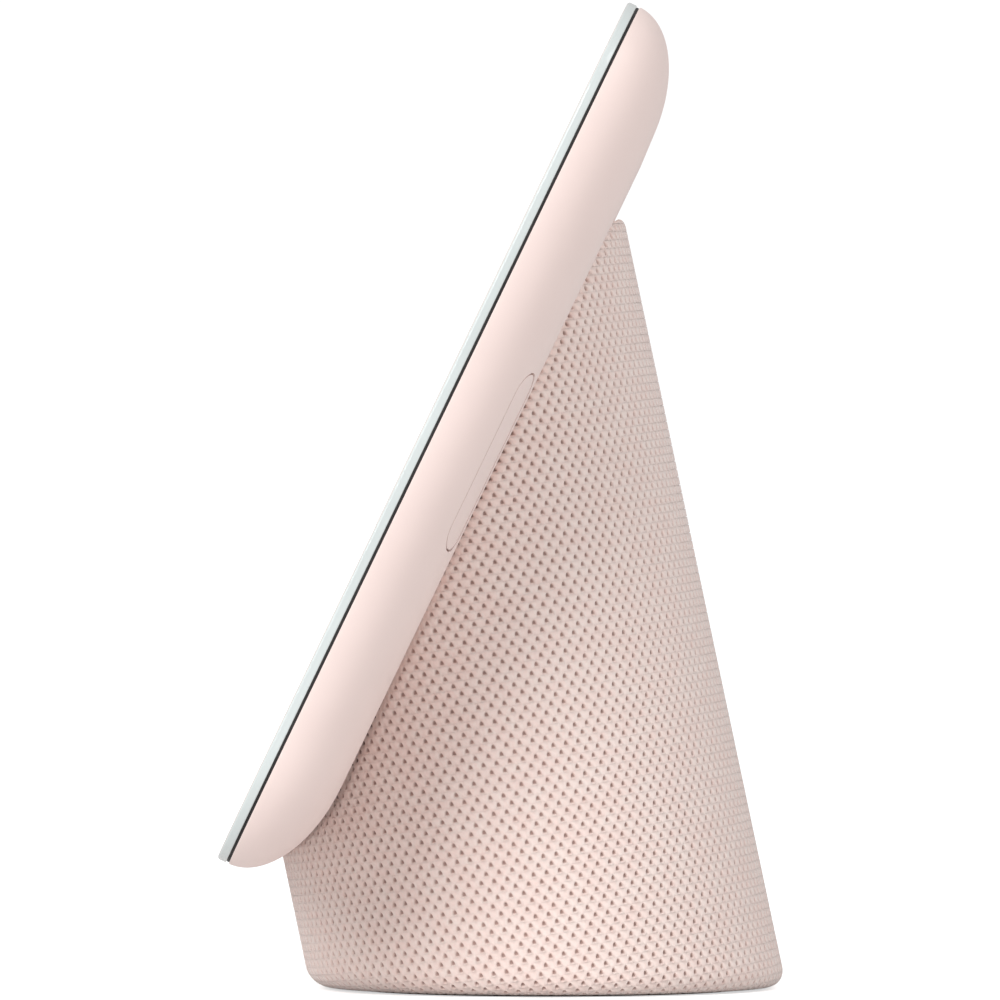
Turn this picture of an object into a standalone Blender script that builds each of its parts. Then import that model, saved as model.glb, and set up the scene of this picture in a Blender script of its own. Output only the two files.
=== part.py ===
"""Smart display: a glass-fronted screen that leans back on an oval, fabric-covered speaker stand.

Metres, +Z up. The origin is the centre of the stand's footprint, on the underside of its foot, and the
screen faces -Y. Each sub-part is one named object. Pieces of the screen half hang from an empty on the
middle of the glass, whose local X runs across the screen, Y up it and Z out of it. The moving pieces
hang from an empty on their joint.
"""

import math

import bmesh
import bpy
from mathutils import Vector

MM = 0.001

# Driving dimensions: the screen half
SLAB_WIDTH = 177.4 * MM
SLAB_HEIGHT = 114.2 * MM
SLAB_DEPTH = 9.75 * MM
SLAB_CORNER = 15.0 * MM
SCREEN_LEAN = 25.65
SCREEN_TOE_Y = -40.05 * MM
SCREEN_TOE_Z = 17.45 * MM
GLASS_THICKNESS = 1.2 * MM
ADHESIVE_THICKNESS = 0.25 * MM
SHELL_WALL = 1.6 * MM
RIM_INSET = 14.0 * MM
SIDE_BORDER = 9.7 * MM
END_BORDER = 9.1 * MM

# Driving dimensions: the stand
STAND_WIDTH = 114.0 * MM
STAND_DEPTH = 59.04 * MM
STAND_END = 33.5 * MM
STAND_LEAN = 11.9
STAND_TAPER = 4.0
STAND_BLUNT = 1.25 * MM
STAND_ROUND = 2.5 * MM
TOP_ROUND = 0.9 * MM
FABRIC_THICKNESS = 1.0 * MM
STAND_WALL = 2.2 * MM
FLOOR_THICKNESS = 2.2 * MM
FOOT_THICKNESS = 1.6 * MM
FOOT_INSET = 5.5 * MM
FABRIC_LIFT = 0.6 * MM

# Driving dimensions: volume rocker and mute slider
ROCKER_LENGTH = 23.2 * MM
ROCKER_WIDTH = 5.5 * MM
ROCKER_TURN = 67.0
ROCKER_PIVOT_DEPTH = 3.3 * MM
ROCKER_PIN_RADIUS = 0.5 * MM
MUTE_LENGTH = 7.6 * MM
MUTE_WIDTH = 3.6 * MM
MUTE_TRAVEL = 3.0 * MM
MUTE_TURN = 75.0

# Driving dimensions: loudspeaker, direct-current inlet and fasteners
SPEAKER_RADIUS = 25.0 * MM
SPEAKER_DEPTH = 16.0 * MM
SPEAKER_HEIGHT = 47.0 * MM
SPEAKER_SETBACK = 9.0 * MM
CONE_RADIUS = 17.5 * MM
COIL_RADIUS = 6.45 * MM
JACK_HEIGHT = 11.5 * MM
JACK_WIDTH = 10.0 * MM
JACK_LENGTH = 13.0 * MM
BEZEL_RADIUS = 5.25 * MM
SCREW_RADIUS = 1.1 * MM
SCREW_HEAD_RADIUS = 2.1 * MM
SCREW_HEAD_HEIGHT = 1.2 * MM
BOSS_WALL = 1.7 * MM

# Clearances
GAP = 0.3 * MM
BOND_GAP = 0.05 * MM
PIN_CLEARANCE = 0.08 * MM
PAST = 2.0 * MM

# How finely curves are divided
CORNER_STEPS = 7
RIM_STEPS = 7
STAND_FACETS = 60
ROUND_SIDES = 16
TURN_STEPS = 28

# Worked out from the above: the screen half, as depths behind the glass front
RIM_Z = GLASS_THICKNESS + ADHESIVE_THICKNESS + 2 * BOND_GAP
RIM_DEPTH = SLAB_DEPTH - RIM_Z
INNER_BACK = SLAB_DEPTH - SHELL_WALL
HALF_WIDTH = SLAB_WIDTH / 2
HALF_HEIGHT = SLAB_HEIGHT / 2
LEAN = math.radians(SCREEN_LEAN)
SCREEN_CENTRE = Vector((
    0.0,
    SCREEN_TOE_Y + HALF_HEIGHT * math.sin(LEAN),
    SCREEN_TOE_Z + HALF_HEIGHT * math.cos(LEAN),
))
LCD_TOP = GLASS_THICKNESS + 2 * BOND_GAP
LCD_BACK = LCD_TOP + 1.0 * MM
GUIDE_BACK = LCD_BACK + 0.7 * MM
TRAY_BACK = GUIDE_BACK + 0.5 * MM
SPREADER_BACK = TRAY_BACK + 0.3 * MM
CHASSIS_TOP = SPREADER_BACK + 0.7 * MM
CHASSIS_BACK = CHASSIS_TOP + 0.8 * MM
PAD_BACK = CHASSIS_BACK + 0.4 * MM
SHIELD_BACK = PAD_BACK + 0.95 * MM
BOARD_BACK = SHIELD_BACK + 0.75 * MM
CHASSIS_HALF_WIDTH = HALF_WIDTH - 15.7 * MM
CHASSIS_HALF_HEIGHT = HALF_HEIGHT - 16.1 * MM
BOARD_SIZE = (100.0 * MM, 34.0 * MM)
BOARD_Y = CHASSIS_HALF_HEIGHT - 1.0 * MM - BOARD_SIZE[1] / 2
BORDER_Y = HALF_HEIGHT - 4.7 * MM

# Worked out: the stand
STAND_SLOPE = math.tan(math.radians(STAND_LEAN))
TAPER_SLOPE = math.tan(math.radians(STAND_TAPER))
BACK_AT_FLOOR = SCREEN_TOE_Y - SCREEN_TOE_Z * math.tan(LEAN) + SLAB_DEPTH / math.cos(LEAN)
MEETING_HEIGHT = (STAND_DEPTH / 2 - BACK_AT_FLOOR) / (math.tan(LEAN) + STAND_SLOPE)
STAND_TOP = MEETING_HEIGHT - STAND_BLUNT / (math.tan(LEAN) + STAND_SLOPE)
CORE_INSET = FABRIC_THICKNESS + GAP
CAVITY_INSET = CORE_INSET + STAND_WALL
CORE_BOTTOM = max(FABRIC_LIFT + FABRIC_THICKNESS, FOOT_THICKNESS) + GAP
FLOOR_TOP = CORE_BOTTOM + FLOOR_THICKNESS
FRONT_WALL_BACK = SLAB_DEPTH + GAP + STAND_WALL
PLATE_TOP = FRONT_WALL_BACK + GAP
PLATE_BACK = PLATE_TOP + 1.2 * MM
NECK_BOTTOM_Y = -HALF_HEIGHT + 17.0 * MM
NECK_TOP_Y = BOARD_Y - BOARD_SIZE[1] / 2 - 5.0 * MM
NECK_Y = (NECK_BOTTOM_Y + NECK_TOP_Y) / 2
WINDOW_SIZE = (17.0 * MM, 6.0 * MM)
WINDOW_Y = NECK_TOP_Y - 13.0 * MM
JACK_BACK_Y = STAND_DEPTH / 2 - STAND_SLOPE * JACK_HEIGHT
JACK_FRONT_Y = JACK_BACK_Y - CAVITY_INSET - 1.5 * MM
POWER_BOARD_TOP = JACK_HEIGHT - JACK_WIDTH / 2 - GAP

# Worked out: the loudspeaker, as distances along its axis from the flange's front face
FLANGE_THICKNESS = 1.6 * MM
GASKET_THICKNESS = 1.0 * MM
BASKET_DEPTH = 9.0 * MM
COIL_WALL = 0.8 * MM
COIL_GAP = 0.5 * MM
THROAT_RADIUS = COIL_RADIUS + COIL_GAP
POLE_RADIUS = COIL_RADIUS - COIL_WALL - COIL_GAP
MAGNET_RADIUS = 13.0 * MM
SURROUND_RADIUS = SPEAKER_RADIUS - 4.3 * MM
LANDING_FRONT = GASKET_THICKNESS + 2 * BOND_GAP

# Worked out: the rocker and the mute slider, as depths below the housing's surface
ROCKER_FLANGE_TOP = SHELL_WALL + 0.9 * MM
ROCKER_FLANGE_BACK = ROCKER_FLANGE_TOP + 0.5 * MM
NUB_TIP = ROCKER_FLANGE_BACK + 0.3 * MM
NUB_Y = ROCKER_LENGTH / 2 - 3.1 * MM
SWITCH_TOP = NUB_TIP + 0.3 * MM
SWITCH_BODY_TOP = SWITCH_TOP + 0.3 * MM
SWITCH_BACK = SWITCH_BODY_TOP + 0.5 * MM
VOLUME_BOARD_TOP = SWITCH_BACK + BOND_GAP
VOLUME_BOARD_BACK = VOLUME_BOARD_TOP + 0.55 * MM
MUTE_FLANGE_TOP = SHELL_WALL + 0.6 * MM
MUTE_FLANGE_BACK = MUTE_FLANGE_TOP + 0.5 * MM
MUTE_BOARD_SIZE = (14.0 * MM, 4.6 * MM, 0.5 * MM)
MUTE_SLOT = (MUTE_LENGTH + MUTE_TRAVEL + 2 * GAP, MUTE_WIDTH + 2 * GAP)


def linear(red, green, blue):
    """Scene-linear colour of a colour given as 0 to 255 display values."""
    shown = [value / 255 for value in (red, green, blue)]
    return tuple(value / 12.92 if value <= 0.04 else ((value + 0.055) / 1.055) ** 2.4 for value in shown)


FINISHES = {
    "glass": (linear(216, 224, 222), 0.08, 0.0),
    "adhesive": (linear(38, 38, 38), 0.6, 0.0),
    "panel": (linear(18, 18, 20), 0.15, 0.0),
    "light_guide": (linear(235, 238, 240), 0.2, 0.0),
    "plated_steel": (linear(190, 190, 188), 0.35, 1.0),
    "aluminium": (linear(180, 182, 185), 0.4, 1.0),
    "board": (linear(24, 66, 48), 0.5, 0.0),
    "thermal_pad": (linear(120, 150, 180), 0.8, 0.0),
    "flex": (linear(170, 96, 30), 0.45, 0.0),
    "module": (linear(45, 45, 48), 0.5, 0.0),
    "housing": (linear(246, 224, 216), 0.45, 0.0),
    "steel": (linear(150, 150, 152), 0.3, 1.0),
    "fabric": (linear(230, 209, 202), 0.9, 0.0),
    "core": (linear(212, 192, 185), 0.6, 0.0),
    "foot": (linear(205, 182, 174), 0.75, 0.0),
    "black_plastic": (linear(30, 30, 32), 0.5, 0.0),
    "magnet": (linear(60, 60, 64), 0.4, 1.0),
    "cone": (linear(40, 40, 44), 0.7, 0.0),
    "rubber": (linear(22, 22, 22), 0.8, 0.0),
    "spider": (linear(196, 160, 92), 0.9, 0.0),
    "copper": (linear(190, 110, 70), 0.35, 1.0),
    "foam": (linear(55, 55, 58), 0.95, 0.0),
}


def clear_scene():
    """Remove whatever the scene holds, and return fresh collections for the parts and the cutters."""
    for leftover in list(bpy.data.objects):
        bpy.data.objects.remove(leftover, do_unlink=True)
    made = []
    for name in ("smart_display", "cutters"):
        collection = bpy.data.collections.new(name)
        bpy.context.scene.collection.children.link(collection)
        made.append(collection)
    return made


PARTS, CUTTERS = clear_scene()


def finish_named(name):
    """The material of one finish, made the first time it is asked for."""
    found = bpy.data.materials.get(name)
    if found:
        return found
    colour, roughness, metallic = FINISHES[name]
    material = bpy.data.materials.new(name)
    material.use_nodes = True
    shader = material.node_tree.nodes["Principled BSDF"]
    shader.inputs["Base Color"].default_value = (*colour, 1.0)
    shader.inputs["Roughness"].default_value = roughness
    shader.inputs["Metallic"].default_value = metallic
    material.diffuse_color = (*colour, 1.0)
    return material


def place(name, mesh_or_bm, parent, finish):
    """Make an object of a mesh. A piece has a finish; without one it is a cutter."""
    if isinstance(mesh_or_bm, bmesh.types.BMesh):
        mesh = bpy.data.meshes.new(name)
        bmesh.ops.recalc_face_normals(mesh_or_bm, faces=mesh_or_bm.faces)
        mesh_or_bm.to_mesh(mesh)
        mesh_or_bm.free()
    else:
        mesh = mesh_or_bm
    obj = bpy.data.objects.new(name, mesh)
    obj.parent = parent
    if finish:
        PARTS.objects.link(obj)
        mesh.materials.append(finish_named(finish))
        mesh.shade_smooth()
        mesh.set_sharp_from_angle(angle=math.radians(35))
    else:
        CUTTERS.objects.link(obj)
        obj.hide_render = True
        obj.display_type = "WIRE"
    return obj


def empty(name, parent, location, rotation):
    """An empty that other pieces hang from; rotation is Euler XYZ in degrees."""
    axis = bpy.data.objects.new(name, None)
    axis.empty_display_size = 10 * MM
    axis.parent = parent
    axis.location = location
    axis.rotation_euler = [math.radians(turn) for turn in rotation]
    PARTS.objects.link(axis)
    return axis


def boolean(piece, other, operation):
    """Cut another object from a piece, join it or keep only what they share."""
    modifier = piece.modifiers.new(operation.lower() + "_" + other.name, "BOOLEAN")
    modifier.operation = operation
    modifier.object = other
    modifier.solver = "EXACT"
    return piece


def cut(piece, *others):
    """Take other objects out of a piece."""
    for other in others:
        boolean(piece, other, "DIFFERENCE")
    return piece


def box(name, size, at, parent, finish=None, corner=0.0, steps=3):
    """A block of the given size about a point, with the edges along its local Z rounded by corner."""
    bm = bmesh.new()
    bmesh.ops.create_cube(bm, size=1.0)
    for vert in bm.verts:
        vert.co = Vector(a * b for a, b in zip(vert.co, size))
    if corner:
        upright = [e for e in bm.edges if (e.verts[0].co - e.verts[1].co).xy.length < 1e-9]
        bmesh.ops.bevel(bm, geom=upright, offset=corner, segments=steps, profile=0.5, affect="EDGES")
    bmesh.ops.translate(bm, verts=bm.verts, vec=at)
    return place(name, bm, parent, finish)


def sheet_of(name, width, height, front, back, parent, finish=None, corner=0.5 * MM, at=(0.0, 0.0)):
    """A block square to the screen, between two depths behind the glass front."""
    centre = (at[0], at[1], -(front + back) / 2)
    steps = CORNER_STEPS if corner > 5 * MM else 3
    return box(name, (width, height, back - front), centre, parent, finish, corner, steps)


def pill(name, length, width, low, high, parent, finish=None, along_x=False, at=(0.0, 0.0)):
    """A block with half-round ends, its long side along local Y or X."""
    size = (length, width, high - low) if along_x else (width, length, high - low)
    return box(name, size, (at[0], at[1], (low + high) / 2), parent, finish, width * 0.49, 6)


def peg(name, radius, low, high, parent, finish=None, at=(0.0, 0.0), sides=ROUND_SIDES):
    """A cylinder along local Z."""
    bm = bmesh.new()
    bmesh.ops.create_cone(
        bm, cap_ends=True, segments=sides, radius1=radius, radius2=radius, depth=high - low
    )
    bmesh.ops.translate(bm, verts=bm.verts, vec=(at[0], at[1], (low + high) / 2))
    return place(name, bm, parent, finish)


def turned(name, profile, parent, finish=None, steps=TURN_STEPS):
    """A closed profile of (radius, height) points, outer side running down, turned about local Z."""
    mesh = bpy.data.meshes.new(name)
    points = [(radius, 0.0, height) for radius, height in profile]
    open_on_axis = profile[0][0] == 0.0 and profile[-1][0] == 0.0
    edges = [(i, i + 1) for i in range(len(points) - 1)]
    if not open_on_axis:
        edges.append((len(points) - 1, 0))
    mesh.from_pydata(points, edges, [])
    obj = place(name, mesh, parent, finish)
    screw = obj.modifiers.new("turn", "SCREW")
    screw.axis = "Z"
    screw.angle = math.tau
    screw.steps = steps
    screw.render_steps = steps
    screw.use_merge_vertices = True
    screw.merge_threshold = 0.00002
    screw.use_smooth_shade = True
    return obj


def ring(name, inner, outer, low, high, parent, finish=None):
    """A tube along local Z."""
    profile = [(inner, high), (outer, high), (outer, low), (inner, low)]
    return turned(name, profile, parent, finish)


def screw(name, head_low, length, parent, at, head_down=True, head_radius=SCREW_HEAD_RADIUS,
          head_height=SCREW_HEAD_HEIGHT):
    """A pan-head screw along local Z; head_down puts its head at the low end."""
    shank = length + head_height
    if head_down:
        profile = [
            (0.0, shank), (SCREW_RADIUS, shank), (SCREW_RADIUS, head_height),
            (head_radius, head_height), (head_radius, 0.0), (0.0, 0.0),
        ]
    else:
        profile = [
            (0.0, head_height), (head_radius, head_height), (head_radius, 0.0),
            (SCREW_RADIUS, 0.0), (SCREW_RADIUS, -length), (0.0, -length),
        ]
    fastener = turned(name, profile, parent, "steel", steps=12)
    fastener.location = (at[0], at[1], head_low)
    return fastener


def ribbon(name, points, width, thickness, parent, finish, across=0.0):
    """A flat strip through (y, z) points, as wide as given along X."""
    bm = bmesh.new()
    rows = [
        (bm.verts.new((across - width / 2, y, z)), bm.verts.new((across + width / 2, y, z)))
        for y, z in points
    ]
    for (left, right), (next_left, next_right) in zip(rows, rows[1:]):
        bm.faces.new((left, right, next_right, next_left))
    obj = place(name, bm, parent, finish)
    wall = obj.modifiers.new("thickness", "SOLIDIFY")
    wall.thickness = thickness
    wall.offset = 0.0
    return obj


def wire(name, points, radius, finish):
    """A round lead through world points."""
    curve = bpy.data.curves.new(name, "CURVE")
    curve.dimensions = "3D"
    curve.bevel_depth = radius
    curve.bevel_resolution = 2
    curve.use_fill_caps = True
    spline = curve.splines.new("POLY")
    spline.points.add(len(points) - 1)
    for point, where in zip(spline.points, points):
        point.co = (*where, 1.0)
    lead = bpy.data.objects.new(name, curve)
    curve.materials.append(finish_named(finish))
    PARTS.objects.link(lead)
    return lead


def smooth_route(points, steps):
    """Points of a Catmull-Rom curve through a route."""
    ends = [points[0] * 2 - points[1], *points, points[-1] * 2 - points[-2]]
    route = []
    for a, b, c, d in zip(ends, ends[1:], ends[2:], ends[3:]):
        for step in range(steps):
            t = step / steps
            route.append(
                0.5 * (2 * b + (c - a) * t + (2 * a - 5 * b + 4 * c - d) * t**2
                   + (3 * b - a - 3 * c + d) * t**3)
            )
    return [*route, points[-1]]


# ---- Forms that several pieces share ----


def rounded_outline(width, height, corner):
    """Points of a rectangle with round corners, in order."""
    points = []
    for quarter, (x, y) in enumerate(((1, 1), (-1, 1), (-1, -1), (1, -1))):
        centre = Vector((x * (width / 2 - corner), y * (height / 2 - corner)))
        for step in range(CORNER_STEPS + 1):
            turn = math.radians(90 * (quarter + step / CORNER_STEPS))
            points.append(centre + corner * Vector((math.cos(turn), math.sin(turn))))
    return points


def rim_point(turn, wall=0.0):
    """(inset, depth behind the glass) on the housing's elliptical rim, a wall inside its surface."""
    inset = wall + (RIM_INSET - wall) * (1 - math.cos(turn))
    return inset, RIM_Z + (RIM_DEPTH - wall) * math.sin(turn)


def slab_form(name, wall, front, parent):
    """The housing's outer form, taken in by a wall or out by a gap, and run on to a height in front."""
    levels = [(wall, -front)]
    levels += [rim_point(math.pi / 2 * step / RIM_STEPS, wall) for step in range(RIM_STEPS + 1)]
    bm = bmesh.new()
    rings = []
    for inset, depth in levels:
        corner = max(SLAB_CORNER - inset, 0.5 * MM)
        outline = rounded_outline(SLAB_WIDTH - 2 * inset, SLAB_HEIGHT - 2 * inset, corner)
        rings.append([bm.verts.new((*point, -depth)) for point in outline])
    for upper, lower in zip(rings, rings[1:]):
        for i, vert in enumerate(upper):
            before = i - 1
            bm.faces.new((upper[before], vert, lower[i], lower[before]))
    bm.faces.new(rings[0])
    bm.faces.new(rings[-1])
    return place(name, bm, parent, None)


def stand_straight(height):
    """Half the length of the straight stretch between the stand's round ends, at a height."""
    return STAND_WIDTH / 2 - STAND_END - TAPER_SLOPE * height


def stand_point(inset, turn, height):
    """The point on the stand's outline, taken in by an inset, at a turn round its ends from +X in degrees."""
    angle = math.radians(turn)
    side = 1 if math.cos(angle) >= 0 else -1
    return Vector((
        side * stand_straight(height) + (STAND_END - inset) * math.cos(angle),
        (STAND_DEPTH / 2 - inset) * math.sin(angle) - STAND_SLOPE * height,
        height,
    ))


def stand_chord(y, height, inset):
    """Half the width of the stand's outline at a distance back and a height."""
    share = (y + STAND_SLOPE * height) / (STAND_DEPTH / 2 - inset)
    return stand_straight(height) + (STAND_END - inset) * math.sqrt(max(0.0, 1 - share**2))


def stand_outline(inset, height):
    """Points round the stand: two round ends, each with both of its own end points, joined by straights."""
    half_turn = STAND_FACETS // 2
    turns = [-90 + 180 * step / half_turn for step in range(half_turn + 1)]
    right = [stand_point(inset, turn, height) for turn in turns]
    left = [Vector((-point.x, point.y, height)) for point in reversed(right)]
    return right + left


def stand_form(name, inset, bottom, top, finish=None, bottom_round=0.0, top_round=0.0):
    """The leaning oval body of the stand, taken in by an inset, between two heights."""
    bm = bmesh.new()
    low, high = ([bm.verts.new(point) for point in stand_outline(inset, height)] for height in (bottom, top))
    bm.faces.new(reversed(low))
    bm.faces.new(high)
    for step in range(len(low)):
        bm.faces.new((low[step - 1], low[step], high[step], high[step - 1]))
    for at, width, steps in ((bottom, bottom_round, 4), (top, top_round, 3)):
        if not width:
            continue
        edge = [e for e in bm.edges if all(abs(v.co.z - at) < 1e-7 for v in e.verts)]
        bmesh.ops.bevel(bm, geom=edge, offset=width, segments=steps, profile=0.5, affect="EDGES")
    return place(name, bm, None, finish)


def slab_to_world(y, depth):
    """(y, z) in the world of a point on the screen's centre line, a depth behind the glass."""
    return (
        SCREEN_CENTRE.y + y * math.sin(LEAN) + depth * math.cos(LEAN),
        SCREEN_CENTRE.z + y * math.cos(LEAN) - depth * math.sin(LEAN),
    )


# ---- The screen half ----

SLAB_AXIS = empty("slab_axis", None, SCREEN_CENTRE, (90 - SCREEN_LEAN, 0, 0))
MIC_X = 21.0 * MM
CHASSIS_SCREWS = [(x * (CHASSIS_HALF_WIDTH - 7 * MM), y * (CHASSIS_HALF_HEIGHT - 7 * MM))
                  for x in (-1, 1) for y in (-1, 1)]


def neck_half_width():
    """Half the neck plate's width: what the stand's cavity leaves at the plate's corners."""
    depths = (PLATE_TOP, PLATE_BACK)
    corners = [slab_to_world(y, depth) for y in (NECK_BOTTOM_Y, NECK_TOP_Y) for depth in depths]
    return min(stand_chord(y, z, CAVITY_INSET) for y, z in corners) - 2.0 * MM


NECK_HALF_WIDTH = neck_half_width()
NECK_SCREWS = [(x * (NECK_HALF_WIDTH - 5 * MM), y) for x in (-1, 1)
               for y in (NECK_BOTTOM_Y + 4.5 * MM, NECK_TOP_Y - 4.5 * MM)]


def make_glass():
    """Cover glass with two microphone holes, and the dark ring that bonds it to the housing."""
    glass = sheet_of("cover_glass", SLAB_WIDTH, SLAB_HEIGHT, 0.0, GLASS_THICKNESS, SLAB_AXIS, "glass",
                     SLAB_CORNER)
    glass.data.polygons.foreach_set("use_smooth", [False] * len(glass.data.polygons))
    for name, x in (("left", -MIC_X), ("right", MIC_X)):
        cut(glass, peg("mic_hole_" + name, 0.6 * MM, -PAST, PAST, SLAB_AXIS, at=(x, BORDER_Y), sides=12))
    front = GLASS_THICKNESS + BOND_GAP
    back = front + ADHESIVE_THICKNESS
    inset = 0.2 * MM
    width = SHELL_WALL - 2 * inset
    bond = sheet_of(
        "glass_adhesive", SLAB_WIDTH - 2 * inset, SLAB_HEIGHT - 2 * inset, front, back, SLAB_AXIS,
        "adhesive",
        SLAB_CORNER - inset,
    )
    inner = inset + width
    cut(bond, sheet_of(
        "adhesive_window", SLAB_WIDTH - 2 * inner, SLAB_HEIGHT - 2 * inner, 0.0, back + PAST, SLAB_AXIS,
        None,
        SLAB_CORNER - inner,
    ))


def make_picture_module():
    """Liquid-crystal panel, light guide, the steel tray that holds them, and the heat spreader."""
    width = SLAB_WIDTH - 2 * SIDE_BORDER
    height = SLAB_HEIGHT - 2 * END_BORDER
    sheet_of("lcd_panel", width, height, LCD_TOP, LCD_BACK, SLAB_AXIS, "panel")
    sheet_of("light_guide", width, height, LCD_BACK + 0.1 * MM, GUIDE_BACK, SLAB_AXIS, "light_guide")
    room = 0.5 * MM
    wall = 0.9 * MM
    tray = sheet_of(
        "backlight_tray", width + 2 * (room + wall), height + 2 * (room + wall), LCD_TOP + 0.5 * MM,
        TRAY_BACK,
        SLAB_AXIS, "plated_steel", 1.0 * MM,
    )
    cut(tray,
        sheet_of("tray_inside", width + 2 * room, height + 2 * room, 0.0, GUIDE_BACK + 0.1 * MM, SLAB_AXIS))
    sheet_of("heat_spreader", width - 8 * MM, height - 14 * MM, TRAY_BACK + 0.1 * MM, SPREADER_BACK,
             SLAB_AXIS,
             "aluminium")


def make_chassis():
    """Stiffening plate behind the picture module, with its screws."""
    plate = sheet_of(
        "chassis_plate", 2 * CHASSIS_HALF_WIDTH, 2 * CHASSIS_HALF_HEIGHT, CHASSIS_TOP, CHASSIS_BACK,
        SLAB_AXIS,
        "aluminium", 3.0 * MM,
    )
    head = 0.5 * MM
    for number, at in enumerate(CHASSIS_SCREWS, 1):
        cut(plate, peg(f"chassis_hole_{number}", SCREW_RADIUS + GAP, -10 * MM, 0.0, SLAB_AXIS, at=at))
        screw(f"chassis_screw_{number}", -CHASSIS_TOP + BOND_GAP, 3.0 * MM, SLAB_AXIS, at, head_down=False,
              head_height=head)


def make_electronics():
    """Main board under its shield, the pad that cools it, and the flexible lead from the panel."""
    at = (0.0, BOARD_Y)
    sheet_of("thermal_pad", 40 * MM, 22 * MM, CHASSIS_BACK + BOND_GAP, PAD_BACK, SLAB_AXIS, "thermal_pad",
             at=at)
    shield = sheet_of("shield_can", 64 * MM, 28 * MM, PAD_BACK + BOND_GAP, SHIELD_BACK, SLAB_AXIS,
                      "plated_steel",
                      at=at)
    cut(shield,
        sheet_of("shield_inside", 63.2 * MM, 27.2 * MM, PAD_BACK + BOND_GAP + 0.3 * MM, SHIELD_BACK + PAST,
                         SLAB_AXIS, at=at))
    sheet_of("main_board", *BOARD_SIZE, SHIELD_BACK + BOND_GAP, BOARD_BACK, SLAB_AXIS, "board", 1.0 * MM,
             at)
    edge = -(HALF_HEIGHT - END_BORDER + 2.2 * MM)
    board_edge = BOARD_Y - BOARD_SIZE[1] / 2
    middle = -(CHASSIS_BACK + 0.7 * MM)
    route = [
        (edge, -LCD_TOP - 0.4 * MM), (edge - 0.5 * MM, -TRAY_BACK + 0.3 * MM), (edge, middle + 0.6 * MM),
        (edge + 2.5 * MM, middle), (board_edge - 4 * MM, middle),
        (board_edge - 0.6 * MM, -SHIELD_BACK - 0.4 * MM),
    ]
    ribbon("display_flex", route, 18 * MM, 0.2 * MM, SLAB_AXIS, "flex")


def make_border_modules():
    """What sits behind the glass above the picture, and the aerials at the sides."""
    front = GLASS_THICKNESS + 0.4 * MM
    back = front + 1.0 * MM
    for name, x, width in (("microphone_left", -MIC_X, 8 * MM), ("microphone_right", MIC_X, 8 * MM),
                           ("light_sensor", 0.0, 5 * MM), ("motion_sensor", 9 * MM, 6.5 * MM)):
        sheet_of(name, width, 3.6 * MM, front, back, SLAB_AXIS, "module", 0.4 * MM, (x, BORDER_Y))
    side = HALF_WIDTH - 5.4 * MM
    for name, x in (("antenna_left", -side), ("antenna_right", side)):
        box(name, (0.6 * MM, 30 * MM, 2.4 * MM), (x, HALF_HEIGHT - 33 * MM, -RIM_Z - 1.8 * MM), SLAB_AXIS,
            "flex")


def make_rear_shell():
    """Housing: a soft-rimmed tray with slots for the two controls, screw bosses and a lead window."""
    shell = slab_form("rear_shell", 0.0, -RIM_Z, SLAB_AXIS)
    CUTTERS.objects.unlink(shell)
    PARTS.objects.link(shell)
    shell.hide_render = False
    shell.display_type = "TEXTURED"
    shell.data.materials.append(finish_named("housing"))
    shell.data.shade_smooth()
    shell.data.set_sharp_from_angle(angle=math.radians(35))
    inside = slab_form("shell_inside", SHELL_WALL, PAST, SLAB_AXIS)
    for number, at in enumerate(CHASSIS_SCREWS, 1):
        cut(inside, peg(f"chassis_boss_{number}", SCREW_RADIUS + BOSS_WALL, -SLAB_DEPTH - PAST,
                        -CHASSIS_BACK - GAP, SLAB_AXIS, at=at))
    for number, at in enumerate(NECK_SCREWS, 1):
        cut(inside, peg(f"neck_boss_{number}", SCREW_RADIUS + BOSS_WALL, -SLAB_DEPTH - PAST,
                        -CHASSIS_BACK - GAP, SLAB_AXIS, at=at))
    cut(shell, inside)
    for number, at in enumerate(CHASSIS_SCREWS, 1):
        cut(shell,
            peg(f"chassis_thread_{number}", SCREW_RADIUS + 0.2 * MM, -INNER_BACK, 0.0, SLAB_AXIS, at=at))
    for number, at in enumerate(NECK_SCREWS, 1):
        cut(shell, peg(f"neck_thread_{number}", SCREW_RADIUS + 0.2 * MM, -SLAB_DEPTH - PAST,
                       -CHASSIS_BACK - 1.1 * MM, SLAB_AXIS, at=at))
    cut(
        shell,
        LEAD_WINDOW,
        pill("rocker_slot", ROCKER_LENGTH + 2 * GAP, ROCKER_WIDTH + 2 * GAP, -1.5 * MM, 8 * MM,
             ROCKER_AXIS),
        pill("mute_slot", *MUTE_SLOT, -4 * MM, PAST, MUTE_AXIS, along_x=True),
    )


# ---- The two controls ----


def surface_axis(name, turn, side_along_x, depth):
    """An empty on the housing's rear shoulder, a depth under its surface, with local Z pointing out."""
    inset, back = rim_point(math.radians(turn))
    slant = math.atan2(RIM_DEPTH * math.cos(math.radians(turn)), RIM_INSET * math.sin(math.radians(turn)))
    if side_along_x:
        location = (HALF_WIDTH - inset - depth * math.sin(slant), 0.0, -back + depth * math.cos(slant))
        return empty(name, SLAB_AXIS, location, (0, 180 - math.degrees(slant), 0))
    location = (0.0, HALF_HEIGHT - inset - depth * math.sin(slant), -back + depth * math.cos(slant))
    return empty(name, SLAB_AXIS, location, (180 + math.degrees(slant), 0, 0))


ROCKER_AXIS = surface_axis("rocker_axis", ROCKER_TURN, True, ROCKER_PIVOT_DEPTH)
MUTE_AXIS = surface_axis("mute_axis", MUTE_TURN, False, 0.0)
LEAD_WINDOW = box(
    "lead_window", (*WINDOW_SIZE, 14 * MM), (0.0, WINDOW_Y, -SLAB_DEPTH - 2.5 * MM), SLAB_AXIS, None,
    2.0 * MM
)


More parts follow.
